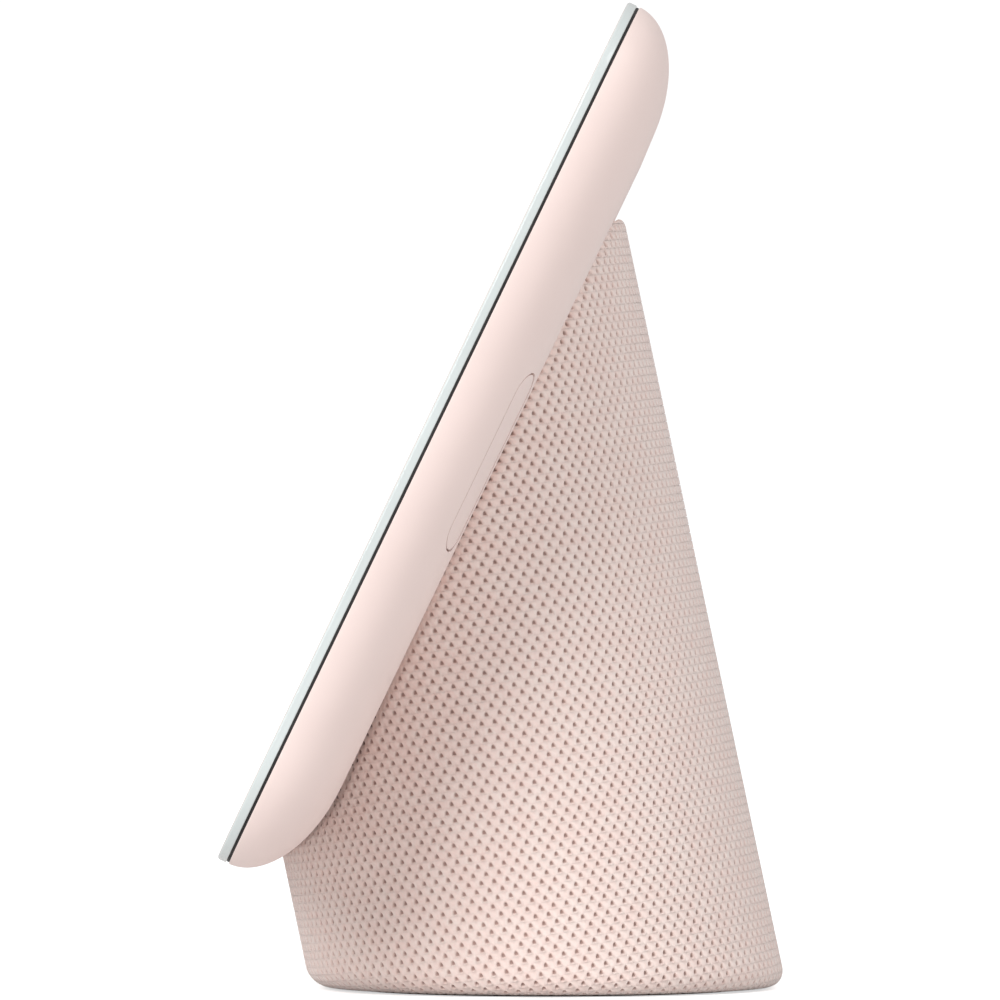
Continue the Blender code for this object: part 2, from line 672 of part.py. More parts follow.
def below(depth):
    """Height over the rocker's pivot of a depth below the housing's surface."""
    return ROCKER_PIVOT_DEPTH - depth


def make_volume_rocker():
    """Rocker flush with the housing's shoulder, its pin, bracket, board and the two switches under it."""
    form = slab_form("rocker_surface", 0.0, PAST, SLAB_AXIS)
    rocker = pill("volume_rocker", ROCKER_LENGTH, ROCKER_WIDTH, below(ROCKER_FLANGE_TOP + 0.2 * MM), 6 * MM,
                  ROCKER_AXIS, "housing")
    boolean(rocker, form, "INTERSECT")
    boolean(rocker, pill("rocker_flange", ROCKER_LENGTH + 1.6 * MM, ROCKER_WIDTH + 1.4 * MM,
                         below(ROCKER_FLANGE_BACK), below(ROCKER_FLANGE_TOP), ROCKER_AXIS), "UNION")
    rib = box("rocker_rib", (4.8 * MM, 2.4 * MM, 1.4 * MM), (0, 0, below(ROCKER_FLANGE_TOP + 0.8 * MM)),
              ROCKER_AXIS)
    boolean(rocker, rib, "UNION")
    for name, y in (("down", -NUB_Y), ("up", NUB_Y)):
        nub = peg("rocker_nub_" + name, 0.8 * MM, below(NUB_TIP), below(ROCKER_FLANGE_TOP + 0.2 * MM),
                  ROCKER_AXIS, at=(0.0, y), sides=12)
        boolean(rocker, nub, "UNION")
    hole = peg("rocker_pin_hole", ROCKER_PIN_RADIUS + PIN_CLEARANCE, -6 * MM, 6 * MM, ROCKER_AXIS)
    hole.rotation_euler = (0, math.pi / 2, 0)
    cut(rocker, hole)
    ear_x = ROCKER_WIDTH / 2 + 1.6 * MM
    pin = peg("rocker_pin", ROCKER_PIN_RADIUS, -ear_x - 0.4 * MM, ear_x + 0.4 * MM, ROCKER_AXIS, "steel")
    pin.rotation_euler = (0, math.pi / 2, 0)
    foot = VOLUME_BOARD_TOP - BOND_GAP
    bracket = box("rocker_bracket", (2 * ear_x + 0.9 * MM, 4 * MM, 0.3 * MM),
                  (0, 0, below(foot - 0.15 * MM)),
                  ROCKER_AXIS, "black_plastic")
    for name, x in (("inner", ear_x), ("outer", -ear_x)):
        ear = box("bracket_ear_" + name, (0.9 * MM, 2.6 * MM, foot - 2.7 * MM),
                  (x, 0, below((foot + 2.7 * MM) / 2)),
                  ROCKER_AXIS)
        boolean(bracket, ear, "UNION")
    cut(bracket, hole)
    box("volume_board", (7 * MM, ROCKER_LENGTH + 1 * MM, VOLUME_BOARD_BACK - VOLUME_BOARD_TOP),
        (0, 0, below((VOLUME_BOARD_TOP + VOLUME_BOARD_BACK) / 2)), ROCKER_AXIS, "board", 0.8 * MM)
    for name, y in (("volume_down_switch", -NUB_Y), ("volume_up_switch", NUB_Y)):
        switch = box(name, (3.4 * MM, 3.4 * MM, SWITCH_BACK - SWITCH_BODY_TOP),
                     (0, y, below((SWITCH_BODY_TOP + SWITCH_BACK) / 2)), ROCKER_AXIS, "plated_steel",
                     0.3 * MM, 2)
        plunger = peg(name + "_plunger", 0.8 * MM, below(SWITCH_BODY_TOP + 0.1 * MM), below(SWITCH_TOP),
                      ROCKER_AXIS, at=(0.0, y), sides=12)
        boolean(switch, plunger, "UNION")


def mute_depth_over(slab_depth, half_width):
    """Depth under the mute slot at which a flat piece's lower edge is still behind a depth in the slab."""
    slant = MUTE_AXIS.rotation_euler.x - math.pi
    surface = -MUTE_AXIS.location.z
    return (surface - slab_depth - half_width * abs(math.sin(slant))) / abs(math.cos(slant))


def make_mute_slider():
    """Slider in the top of the housing's back, the lever that it drives, and its switch and board."""
    rest_x = -MUTE_TRAVEL / 2
    slider = pill("mute_slider", MUTE_LENGTH, MUTE_WIDTH, -MUTE_FLANGE_BACK + 0.1 * MM, -0.4 * MM,
                  MUTE_AXIS,
                  "housing", True, (rest_x, 0.0))
    flange = pill("mute_flange", MUTE_SLOT[0] + MUTE_TRAVEL + 1.2 * MM, MUTE_WIDTH + 1.8 * MM,
                  -MUTE_FLANGE_BACK,
                  -MUTE_FLANGE_TOP, MUTE_AXIS, None, True, (rest_x, 0.0))
    boolean(slider, flange, "UNION")
    lever_low = -MUTE_FLANGE_BACK - 1.0 * MM
    box("mute_lever", (1.4 * MM, 1.2 * MM, 0.9 * MM), (rest_x, 0, lever_low + 0.5 * MM), MUTE_AXIS,
        "black_plastic")
    board_back = mute_depth_over(TRAY_BACK + GAP, MUTE_BOARD_SIZE[1] / 2)
    board_top = board_back - MUTE_BOARD_SIZE[2]
    body_top = -lever_low + 0.25 * MM
    body_back = board_top - BOND_GAP
    box("mute_switch", (8 * MM, 3.2 * MM, body_back - body_top), (0, 0, -(body_top + body_back) / 2),
        MUTE_AXIS,
        "plated_steel", 0.3 * MM, 2)
    box("mute_board", MUTE_BOARD_SIZE, (0, 0, -(board_top + board_back) / 2), MUTE_AXIS, "board", 0.6 * MM,
        2)


# ---- Between the halves ----


def make_neck():
    """Steel plate inside the stand's front wall, and the screws that draw the stand to the housing."""
    plate = sheet_of("neck_plate", 2 * NECK_HALF_WIDTH, NECK_TOP_Y - NECK_BOTTOM_Y, PLATE_TOP, PLATE_BACK,
                     SLAB_AXIS,
                     "plated_steel", 4.0 * MM, (0.0, NECK_Y))
    cut(plate, LEAD_WINDOW)
    length = PLATE_BACK - CHASSIS_BACK - 1.5 * MM
    for number, at in enumerate(NECK_SCREWS, 1):
        hole = peg(f"neck_hole_{number}", SCREW_RADIUS + GAP, -PLATE_BACK - PAST, -SLAB_DEPTH, SLAB_AXIS,
                   at=at)
        cut(plate, hole)
        cut(bpy.data.objects["stand_shell"], hole)
        screw(f"neck_screw_{number}", -PLATE_BACK - BOND_GAP - SCREW_HEAD_HEIGHT, length, SLAB_AXIS, at)


# ---- The stand ----

SPEAKER_FOOT = Vector((0.0, STAND_DEPTH / 2 - STAND_SLOPE * SPEAKER_HEIGHT, SPEAKER_HEIGHT))
SPEAKER_OUT = Vector((0.0, math.cos(math.radians(STAND_LEAN)), math.sin(math.radians(STAND_LEAN))))
SPEAKER_AXIS = empty("speaker_axis", None, SPEAKER_FOOT - SPEAKER_SETBACK * SPEAKER_OUT,
                     (STAND_LEAN - 90, 0, 0))
JACK_AXIS = empty("jack_axis", None, (0.0, 0.0, JACK_HEIGHT), (-90, 0, 0))
FLOOR_SCREW_TURNS = (41, 139, 221, 319)
FLOOR_BOSS_RADIUS = SCREW_HEAD_RADIUS + 2.6 * MM


def floor_screw_places():
    """Where the stand's floor screws stand: just inside its wall."""
    inset = CAVITY_INSET + SCREW_HEAD_RADIUS + 1.6 * MM
    points = [stand_point(inset, turn, CORE_BOTTOM + 4 * MM) for turn in FLOOR_SCREW_TURNS]
    return [(point.x, point.y) for point in points]


def make_stand_shell():
    """Rigid core of the stand, with speaker slots, a landing ring for the speaker and screw bosses."""
    envelope = slab_form("slab_envelope", -GAP, 60 * MM, SLAB_AXIS)
    shell = stand_form("stand_shell", CORE_INSET, CORE_BOTTOM, STAND_TOP - CORE_INSET, "core",
                       STAND_ROUND - CORE_INSET)
    cut(shell, envelope)
    cavity = stand_form("stand_cavity", CAVITY_INSET, -PAST, STAND_TOP)
    cut(cavity, slab_form("front_wall_form", -GAP - STAND_WALL, 60 * MM, SLAB_AXIS))
    cut(cavity,
        ring("landing_ring", SURROUND_RADIUS, SPEAKER_RADIUS + 0.5 * MM, LANDING_FRONT, 25 * MM,
             SPEAKER_AXIS))
    places = floor_screw_places()
    for number, at in enumerate(places, 1):
        cut(cavity,
            peg(f"floor_boss_{number}", FLOOR_BOSS_RADIUS, FLOOR_TOP + GAP, FLOOR_TOP + 7 * MM, None,
                at=at))
    cut(shell, cavity)
    for number, at in enumerate(places, 1):
        cut(shell,
            peg(f"floor_thread_{number}", SCREW_RADIUS + 0.2 * MM, 0.0, FLOOR_TOP + 5.5 * MM, None, at=at))
    cut(shell, speaker_slots(), jack_hole(), LEAD_WINDOW)
    return shell, envelope


def speaker_slots():
    """Cutter for the upright slots in front of the speaker."""
    reach = SURROUND_RADIUS - 2.0 * MM
    pitch = 5.0 * MM
    count = int(reach / pitch)
    bm = bmesh.new()
    for step in range(-count, count + 1):
        x = step * pitch
        long = 2 * math.sqrt(reach**2 - x**2)
        made = bmesh.ops.create_cube(bm, size=1.0)["verts"]
        for vert in made:
            vert.co = Vector((vert.co.x * 2.2 * MM + x, vert.co.y * long,
                              (vert.co.z + 0.5) * 20 * MM + PAST))
    return place("speaker_slots", bm, SPEAKER_AXIS, None)


def jack_hole():
    """Cutter for the hole that the inlet's bezel stands in, made once."""
    found = bpy.data.objects.get("jack_hole")
    if found:
        return found
    low = JACK_FRONT_Y - 1.0 * MM
    return peg("jack_hole", BEZEL_RADIUS + 1.0 * MM + GAP, low, STAND_DEPTH / 2 + PAST, JACK_AXIS, sides=28)


def make_sleeve(envelope):
    """Fabric cover: outside of the stand, turned under at the bottom round the foot."""
    sleeve = stand_form("fabric_sleeve", 0.0, FABRIC_LIFT, STAND_TOP, "fabric", STAND_ROUND, TOP_ROUND)
    inside = stand_form("sleeve_inside", FABRIC_THICKNESS, FABRIC_LIFT + FABRIC_THICKNESS,
                        STAND_TOP - FABRIC_THICKNESS, None, STAND_ROUND - FABRIC_THICKNESS)
    foot_opening = stand_form("foot_opening", FOOT_INSET - GAP, -PAST, FABRIC_LIFT + 2 * FABRIC_THICKNESS)
    cut(sleeve, envelope, inside, foot_opening, jack_hole())


def make_floor():
    """Floor plate with counterbored screws, the steel weight on it, and the soft foot under it."""
    floor = stand_form("stand_floor", CAVITY_INSET + GAP, CORE_BOTTOM, FLOOR_TOP, "core")
    head_low = CORE_BOTTOM + 0.1 * MM
    for number, at in enumerate(floor_screw_places(), 1):
        cut(
            floor,
            peg(f"floor_hole_{number}", SCREW_RADIUS + GAP, 0.0, FLOOR_TOP + PAST, None, at=at),
            peg(f"floor_sink_{number}", SCREW_HEAD_RADIUS + GAP, 0.0,
                head_low + SCREW_HEAD_HEIGHT + 0.05 * MM,
                None, at=at),
        )
        screw(f"floor_screw_{number}", head_low, 6.0 * MM, None, at)
    weight = stand_form("ballast_plate", CAVITY_INSET + 7.5 * MM, FLOOR_TOP + GAP, FLOOR_TOP + GAP + 5 * MM,
                        "steel")
    notch_front = JACK_FRONT_Y - JACK_LENGTH - 10 * MM
    cut(weight,
        box("ballast_notch", (34 * MM, 60 * MM, 20 * MM), (0, notch_front + 30 * MM, FLOOR_TOP), None))
    for number, at in enumerate(floor_screw_places(), 1):
        cut(weight,
            peg(f"ballast_bite_{number}", FLOOR_BOSS_RADIUS + GAP, 0.0, FLOOR_TOP + 9 * MM, None, at=at))
    stand_form("rubber_foot", FOOT_INSET, 0.0, FOOT_THICKNESS, "foot", 0.4 * MM)


def make_speaker():
    """Loudspeaker that fires out of the stand's back: basket, magnet, cone, coil, surround and spider."""
    flange = SPEAKER_RADIUS
    gasket = LANDING_FRONT - BOND_GAP
    ring("speaker_gasket", SURROUND_RADIUS + 0.1 * MM, flange, BOND_GAP, gasket, SPEAKER_AXIS, "foam")
    neck = MAGNET_RADIUS + 1.5 * MM
    turned("speaker_basket", [
        (SURROUND_RADIUS + 0.3 * MM, 0.0), (flange, 0.0), (flange, -FLANGE_THICKNESS),
        (flange - 2.4 * MM, -FLANGE_THICKNESS), (neck, -BASKET_DEPTH + 1.4 * MM), (neck, -BASKET_DEPTH),
        (THROAT_RADIUS, -BASKET_DEPTH), (THROAT_RADIUS, -BASKET_DEPTH + 0.9 * MM),
        (neck - 1.2 * MM, -BASKET_DEPTH + 0.9 * MM),
    ], SPEAKER_AXIS, "black_plastic")
    top = -BASKET_DEPTH - BOND_GAP
    trench = -SPEAKER_DEPTH + 2.0 * MM
    turned("speaker_magnet", [
        (0.0, top), (POLE_RADIUS, top), (POLE_RADIUS, trench), (THROAT_RADIUS, trench),
        (THROAT_RADIUS, top),
        (MAGNET_RADIUS, top), (MAGNET_RADIUS, -SPEAKER_DEPTH), (0.0, -SPEAKER_DEPTH),
    ], SPEAKER_AXIS, "magnet")
    paper = 0.6 * MM
    neck_z = -4.6 * MM
    rim_z = -0.4 * MM
    turned("speaker_cone", [
        (0.0, -2.6 * MM), (0.55 * COIL_RADIUS, -2.9 * MM), (COIL_RADIUS, neck_z), (CONE_RADIUS, rim_z),
        (CONE_RADIUS, rim_z - paper), (COIL_RADIUS + 0.2 * MM, neck_z - paper),
        (0.55 * COIL_RADIUS, -3.6 * MM),
        (0.0, -3.3 * MM),
    ], SPEAKER_AXIS, "cone")
    ring("voice_coil", COIL_RADIUS - COIL_WALL, COIL_RADIUS, trench + 1.5 * MM, neck_z - paper - GAP,
         SPEAKER_AXIS,
         "copper")
    middle = (CONE_RADIUS + SURROUND_RADIUS) / 2
    half = (SURROUND_RADIUS - CONE_RADIUS) / 2 - GAP
    arc = [math.radians(180 * step / 5) for step in range(6)]
    edge_z = -0.2 * MM
    outer = [(middle - half * math.cos(turn), edge_z + half * math.sin(turn)) for turn in arc]
    thin = half - 0.35 * MM
    inner = [(middle + thin * math.cos(turn), edge_z + thin * math.sin(turn)) for turn in arc]
    turned("speaker_surround", outer + inner, SPEAKER_AXIS, "rubber")
    ring("speaker_spider", THROAT_RADIUS - 0.1 * MM, neck - 1.6 * MM, -6.9 * MM, -6.5 * MM, SPEAKER_AXIS,
         "spider")


def make_power_inlet():
    """Inlet jack with its centre pin, the bezel round its mouth, its board and the two leads."""
    jack = box("dc_jack", (JACK_WIDTH, JACK_WIDTH, JACK_LENGTH), (0, 0, JACK_FRONT_Y - JACK_LENGTH / 2),
               JACK_AXIS,
               "black_plastic", 0.8 * MM, 2)
    bore_low = JACK_FRONT_Y - 9 * MM
    cut(jack, peg("jack_bore", 3.2 * MM, bore_low, JACK_FRONT_Y + PAST, JACK_AXIS, sides=24))
    peg("jack_pin", 0.85 * MM, bore_low + GAP, JACK_FRONT_Y - 1.0 * MM, JACK_AXIS, "steel", sides=12)
    past_skin = STAND_DEPTH / 2 + PAST
    bezel = turned("jack_bezel", [
        (BEZEL_RADIUS, past_skin), (BEZEL_RADIUS + 1.0 * MM, past_skin),
        (BEZEL_RADIUS + 1.0 * MM, JACK_FRONT_Y + GAP), (BEZEL_RADIUS, JACK_FRONT_Y + GAP),
    ], JACK_AXIS, "foot", 32)
    boolean(bezel, stand_form("bezel_trim", -0.2 * MM, 0.0, STAND_TOP), "INTERSECT")
    board_back = JACK_FRONT_Y - JACK_LENGTH - 8 * MM
    depth = JACK_FRONT_Y - 1.0 * MM - board_back
    box("power_board", (30 * MM, depth, 1.2 * MM), (0, board_back + depth / 2, POWER_BOARD_TOP - 0.6 * MM),
        None,
        "board", 1.0 * MM)


def make_leads():
    """Flat lead from the main board to the power board, and the speaker's lead."""
    board_back = JACK_FRONT_Y - JACK_LENGTH - 8 * MM
    inner = -(BOARD_BACK + INNER_BACK) / 2
    bend_y = WINDOW_Y + WINDOW_SIZE[1] / 2 - 0.8 * MM
    in_slab = [(WINDOW_Y + 14 * MM, inner), (bend_y, inner), (WINDOW_Y, -SLAB_DEPTH), (WINDOW_Y, -PLATE_BACK)]
    turn = slab_to_world(WINDOW_Y, PLATE_BACK + 0.7 * MM)
    end = (board_back + 2.5 * MM, POWER_BOARD_TOP + 0.7 * MM)
    below_window = slab_to_world(WINDOW_Y - 14 * MM, PLATE_BACK + 3.0 * MM)
    low = slab_to_world(NECK_BOTTOM_Y + 4 * MM, PLATE_BACK + 6.0 * MM)
    bend = (end[0] - 3.5 * MM, end[1] + 4.0 * MM)
    world = [slab_to_world(y, -z) for y, z in in_slab]
    route = [Vector(point) for point in (*world, turn, below_window, low, bend, end)]
    ribbon("main_lead", [tuple(point) for point in smooth_route(route, 3)], 10 * MM, 0.25 * MM, None,
           "flex")
    down = 19.0 * MM
    lean = math.radians(STAND_LEAN)
    beside_magnet = Vector((9 * MM, down * math.sin(lean), -down * math.cos(lean)))
    terminal = SPEAKER_AXIS.location + beside_magnet - 6 * MM * SPEAKER_OUT
    foot = Vector((11 * MM, board_back + 5 * MM, POWER_BOARD_TOP + 0.8 * MM))
    halfway = (terminal + foot) / 2 + Vector((1.0 * MM, -1.5 * MM, 0.0))
    above_foot = foot + Vector((0.0, -0.3 * MM, 3.0 * MM))
    wire("speaker_lead", smooth_route([terminal, halfway, above_foot, foot], 4), 0.6 * MM, "rubber")


def main():
    """Build every sub-part."""
    make_glass()
    make_picture_module()
    make_chassis()
    make_electronics()
    make_border_modules()
    make_rear_shell()
    make_volume_rocker()
    make_mute_slider()
    envelope = make_stand_shell()[1]
    make_neck()
    make_sleeve(envelope)
    make_floor()
    make_speaker()
    make_power_inlet()
    make_leads()


main()
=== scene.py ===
"""Looks of the smart display: glass front, moulded housing, knitted stand cover, and the studio round them.

Metres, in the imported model's frame: the screen faces -Y and the foot stands on Z = 0.
"""

import logging
import math
from dataclasses import dataclass, field
from enum import Enum
from typing import Iterable, Sequence

import bmesh
import bpy
import numpy as np
from mathutils import Matrix, Vector


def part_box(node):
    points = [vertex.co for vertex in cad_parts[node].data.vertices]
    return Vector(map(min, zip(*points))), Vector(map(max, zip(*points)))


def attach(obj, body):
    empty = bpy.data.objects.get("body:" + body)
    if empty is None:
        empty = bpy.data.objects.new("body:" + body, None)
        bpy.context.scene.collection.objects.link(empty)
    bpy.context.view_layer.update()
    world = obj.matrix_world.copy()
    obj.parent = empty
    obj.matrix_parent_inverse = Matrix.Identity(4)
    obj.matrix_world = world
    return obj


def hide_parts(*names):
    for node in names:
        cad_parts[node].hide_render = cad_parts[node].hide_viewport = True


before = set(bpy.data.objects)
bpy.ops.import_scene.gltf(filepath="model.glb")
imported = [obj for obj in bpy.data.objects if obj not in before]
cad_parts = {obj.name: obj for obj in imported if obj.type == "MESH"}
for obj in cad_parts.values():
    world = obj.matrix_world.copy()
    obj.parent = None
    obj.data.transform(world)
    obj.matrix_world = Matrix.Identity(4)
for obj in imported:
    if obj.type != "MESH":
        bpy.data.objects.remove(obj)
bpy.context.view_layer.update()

LOG = logging.getLogger("smart_display")
MM = 0.001
Colour = tuple[int, int, int]


class Body(Enum):
    """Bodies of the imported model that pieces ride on."""

    HOUSING = "housing"
    ROCKER = "rocker"
    SLIDER = "slider"


class Cut(Enum):
    """What a solid does to the piece it is set against."""

    TAKE_OUT = "DIFFERENCE"
    JOIN = "UNION"
    KEEP_SHARED = "INTERSECT"


# ---- Shared mesh helpers ----


def linear(colour: Colour) -> tuple[float, float, float, float]:
    """Turn a display colour into a scene-linear one.

    Args:
        colour: Red, green and blue from 0 to 255.

    Returns:
        Linear red, green, blue and an alpha of one.
    """
    shown = [value / 255 for value in colour]
    made = [value / 12.92 if value <= 0.04 else ((value + 0.055) / 1.055) ** 2.4 for value in shown]
    return (made[0], made[1], made[2], 1.0)


def piece_from(name: str, points: Iterable[Sequence[float]],
               faces: Iterable[Sequence[int]]) -> bpy.types.Object:
    """Make a linked mesh object at the origin from world points.

    Args:
        name: The object's name.
        points: World positions in metres.
        faces: Corner indices of each face.

    Returns:
        The new object.
    """
    mesh = bpy.data.meshes.new(name)
    mesh.from_pydata([tuple(point) for point in points], [], [tuple(face) for face in faces])
    mesh.update()
    made = bpy.data.objects.new(name, mesh)
    bpy.context.scene.collection.objects.link(made)
    return made


def baked(piece: bpy.types.Object) -> None:
    """Replace a piece's mesh by what its modifiers make of it, and drop the modifiers."""
    bpy.context.view_layer.update()
    graph = bpy.context.evaluated_depsgraph_get()
    mesh = bpy.data.meshes.new_from_object(
        piece.evaluated_get(graph), preserve_all_data_layers=True, depsgraph=graph,
    )
    old = piece.data
    piece.modifiers.clear()
    piece.data = mesh
    bpy.data.meshes.remove(old)
    mesh.name = piece.name


def worked(piece: bpy.types.Object, other: bpy.types.Object, how: Cut) -> None:
    """Cut, join or trim a piece by another closed solid, which is then removed.

    Args:
        piece: The piece to change.
        other: The solid set against it.
        how: What the solid does.
    """
    modifier = piece.modifiers.new("work", "BOOLEAN")
    modifier.operation = how.value
    modifier.solver = "EXACT"
    modifier.object = other
    baked(piece)
    bpy.data.objects.remove(other, do_unlink=True)


def turned_out(piece: bpy.types.Object) -> None:
    """Merge a piece's doubles and point its faces outwards."""
    bm = bmesh.new()
    bm.from_mesh(piece.data)
    bmesh.ops.remove_doubles(bm, verts=bm.verts, dist=1e-7)
    bmesh.ops.recalc_face_normals(bm, faces=bm.faces)
    bm.to_mesh(piece.data)
    bm.free()


def eased(piece: bpy.types.Object, width: float, steps: int, angle: float = 40.0) -> None:
    """Round a piece's hard edges a little.

    Args:
        piece: The piece.
        width: Width of the rounding.
        steps: Segments across it.
        angle: Edges sharper than this many degrees are rounded.
    """
    bevel = piece.modifiers.new("ease", "BEVEL")
    bevel.width = width
    bevel.segments = steps
    bevel.limit_method = "ANGLE"
    bevel.angle_limit = math.radians(angle)
    baked(piece)


def smoothed(piece: bpy.types.Object, angle: float = 35.0) -> None:
    """Shade a piece smooth, except across edges sharper than an angle in degrees."""
    piece.data.shade_smooth()
    piece.data.set_sharp_from_angle(angle=math.radians(angle))


def rounded_loop(half: tuple[float, float], radius: float, steps: int,
                 along: tuple[int, int]) -> list[Vector]:
    """Points round a rectangle with rounded corners, anticlockwise from the lower right.

    Args:
        half: Half width and half height.
        radius: Corner radius.
        steps: Segments in each corner.
        along: Segments along each upright side and each level side.

    Returns:
        Flat points.
    """
    corners = [(1, -1, -90), (1, 1, 0), (-1, 1, 90), (-1, -1, 180)]
    points: list[Vector] = []
    for number, (side, end, start) in enumerate(corners):
        centre = Vector((side * (half[0] - radius), end * (half[1] - radius)))
        arc = []
        for step in range(steps + 1):
            turn = math.radians(start + 90 * step / steps)
            arc.append(centre + radius * Vector((math.cos(turn), math.sin(turn))))
        points.extend(arc)
        after = corners[(number + 1) % 4]
        next_centre = Vector((after[0] * (half[0] - radius), after[1] * (half[1] - radius)))
        turn = math.radians(after[2])
        target = next_centre + radius * Vector((math.cos(turn), math.sin(turn)))
        count = along[number % 2]
        points.extend(arc[-1].lerp(target, step / count) for step in range(1, count))
    return points


def lofted(name: str, loops: Sequence[Sequence[Vector]], ringed: bool = False) -> bpy.types.Object:
    """Skin a run of equal loops into a closed piece.

    Args:
        name: The object's name.
        loops: Loops of world points, each with the same number of points.
        ringed: Join the last loop to the first, and leave out the end caps.

    Returns:
        The new object, with its faces outwards.
    """
    count = len(loops[0])
    points = [point for loop in loops for point in loop]
    faces: list[Sequence[int]] = []
    pairs = list(zip(range(len(loops)), range(1, len(loops))))
    if ringed:
        pairs.append((len(loops) - 1, 0))
    for low, high in pairs:
        for step in range(count):
            after = (step + 1) % count
            faces.append((low * count + step, low * count + after, high * count + after, high * count + step))
    if not ringed:
        faces.append(list(range(count))[::-1])
        faces.append(list(range((len(loops) - 1) * count, len(loops) * count)))
    made = piece_from(name, points, faces)
    turned_out(made)
    return made


def pill(name: str, place: Matrix, size: tuple[float, float], reach: tuple[float, float],
         shift: float = 0.0) -> bpy.types.Object:
    """A stadium-shaped block in a local frame, longest along the frame's Y.

    Args:
        name: The object's name.
        place: The frame.
        size: Length and width.
        reach: Lowest and highest local Z.
        shift: How far along Y its middle lies.

    Returns:
        The new object.
    """
    steps = 20
    radius = size[1] / 2
    flat: list[tuple[float, float]] = []
    for end, start in ((1, 0), (-1, 180)):
        for step in range(steps + 1):
            turn = math.radians(start + 180 * step / steps)
            rise = shift + end * (size[0] / 2 - radius) + radius * math.sin(turn)
            flat.append((radius * math.cos(turn), rise))
    return lofted(name, [[place @ Vector((x, y, z)) for x, y in flat] for z in reach])


def revolved(name: str, place: Matrix, profile: Sequence[tuple[float, float]],
             sides: int = 96) -> bpy.types.Object:
    """A ring turned about a frame's Z from a closed profile.

    Args:
        name: The object's name.
        place: The frame.
        profile: Radius and height of each corner, in order round the section.
        sides: Segments round the axis.

    Returns:
        The new object.
    """
    turns = [2 * math.pi * step / sides for step in range(sides)]
    loops = [
        [place @ Vector((radius * math.cos(turn), radius * math.sin(turn), height)) for turn in turns]
        for radius, height in profile
    ]
    return lofted(name, loops, ringed=True)


def handed_over(piece: bpy.types.Object, body: Body, stands_for: Sequence[str] = ()) -> None:
    """Give a finished piece to its body and the nodes it stands for.

    Args:
        piece: The finished piece.
        body: The body it rides on.
        stands_for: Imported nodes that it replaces.
    """
    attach(piece, body.value)
    if stands_for:
        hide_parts(*stands_for)
    LOG.info("%s: %d faces on %s", piece.name, len(piece.data.polygons), body.value)


# ---- Finishes ----


class Recipe:
    """A material under construction, with its nodes added one by one."""

    def __init__(self, name: str) -> None:
        """Start a material with an empty Principled shader."""
        self.material = bpy.data.materials.new(name)
        self.material.use_nodes = True
        self.tree = self.material.node_tree
        self.shader = self.tree.nodes["Principled BSDF"]

    def node(self, kind: str, **settings: object) -> bpy.types.Node:
        """Add a node and set its properties.

        Args:
            kind: The node's type name.
            **settings: Properties to set on it.

        Returns:
            The new node.
        """
        made = self.tree.nodes.new(kind)
        for key, value in settings.items():
            setattr(made, key, value)
        return made

    def link(self, source: bpy.types.NodeSocket, target: bpy.types.NodeSocket) -> None:
        """Join two sockets."""
        self.tree.links.new(source, target)

    def fixed(self, **values: object) -> None:
        """Set the shader's own sockets, with underscores for the spaces in their names."""
        for key, value in values.items():
            self.shader.inputs[key.replace("_", " ")].default_value = value

    def place(self) -> bpy.types.NodeSocket:
        """The piece's own coordinates."""
        return self.node("ShaderNodeTexCoord").outputs["Object"]

    def noise(self, scale: float, detail: float = 3.0) -> bpy.types.NodeSocket:
        """Noise over the piece, with a scale in features per metre."""
        made = self.node("ShaderNodeTexNoise")
        made.inputs["Scale"].default_value = scale
        made.inputs["Detail"].default_value = detail
        self.link(self.place(), made.inputs["Vector"])
        return made.outputs["Fac"]

    def attribute(self, name: str) -> bpy.types.Node:
        """A node that reads one of the mesh's attributes."""
        return self.node("ShaderNodeAttribute", attribute_name=name)

    def blend(self, share: bpy.types.NodeSocket, first: object, second: object) -> bpy.types.NodeSocket:
        """Mix two colours, each either a display colour or a socket.

        Args:
            share: How much of the second shows.
            first: The colour at nought.
            second: The colour at one.

        Returns:
            The mixed colour.
        """
        mix = self.node("ShaderNodeMix", data_type="RGBA")
        self.link(share, mix.inputs[0])
        for socket, value in ((mix.inputs[6], first), (mix.inputs[7], second)):
            if isinstance(value, tuple):
                socket.default_value = linear(value)
            else:
                self.link(value, socket)
        return mix.outputs[2]

    def sum(self, how: str, first: bpy.types.NodeSocket, second: object) -> bpy.types.NodeSocket:
        """One Math node.

        Args:
            how: The operation.
            first: The first operand.
            second: A number or a socket.

        Returns:
            The result.
        """
        made = self.node("ShaderNodeMath", operation=how)
        self.link(first, made.inputs[0])
        if isinstance(second, (int, float)):
            made.inputs[1].default_value = second
        else:
            self.link(second, made.inputs[1])
        return made.outputs[0]

    def ranged(self, source: bpy.types.NodeSocket, low: float, high: float, start: float = 0.3,
               end: float = 0.7) -> bpy.types.NodeSocket:
        """Spread a value over a new range.

        Args:
            source: The value.
            low: The result at the start.
            high: The result at the end.
            start: The value that gives low.
            end: The value that gives high.

        Returns:
            The spread value.
        """
        made = self.node("ShaderNodeMapRange")
        for key, value in (("From Min", start), ("From Max", end), ("To Min", low), ("To Max", high)):
            made.inputs[key].default_value = value
        self.link(source, made.inputs["Value"])
        return made.outputs["Result"]

    def bumped(self, height: bpy.types.NodeSocket, depth: float, strength: float = 1.0) -> None:
        """Roughen the surface by a height that is worth so many metres."""
        bump = self.node("ShaderNodeBump")
        bump.inputs["Strength"].default_value = strength
        bump.inputs["Distance"].default_value = depth
        self.link(height, bump.inputs["Height"])
        self.link(bump.outputs["Normal"], self.shader.inputs["Normal"])


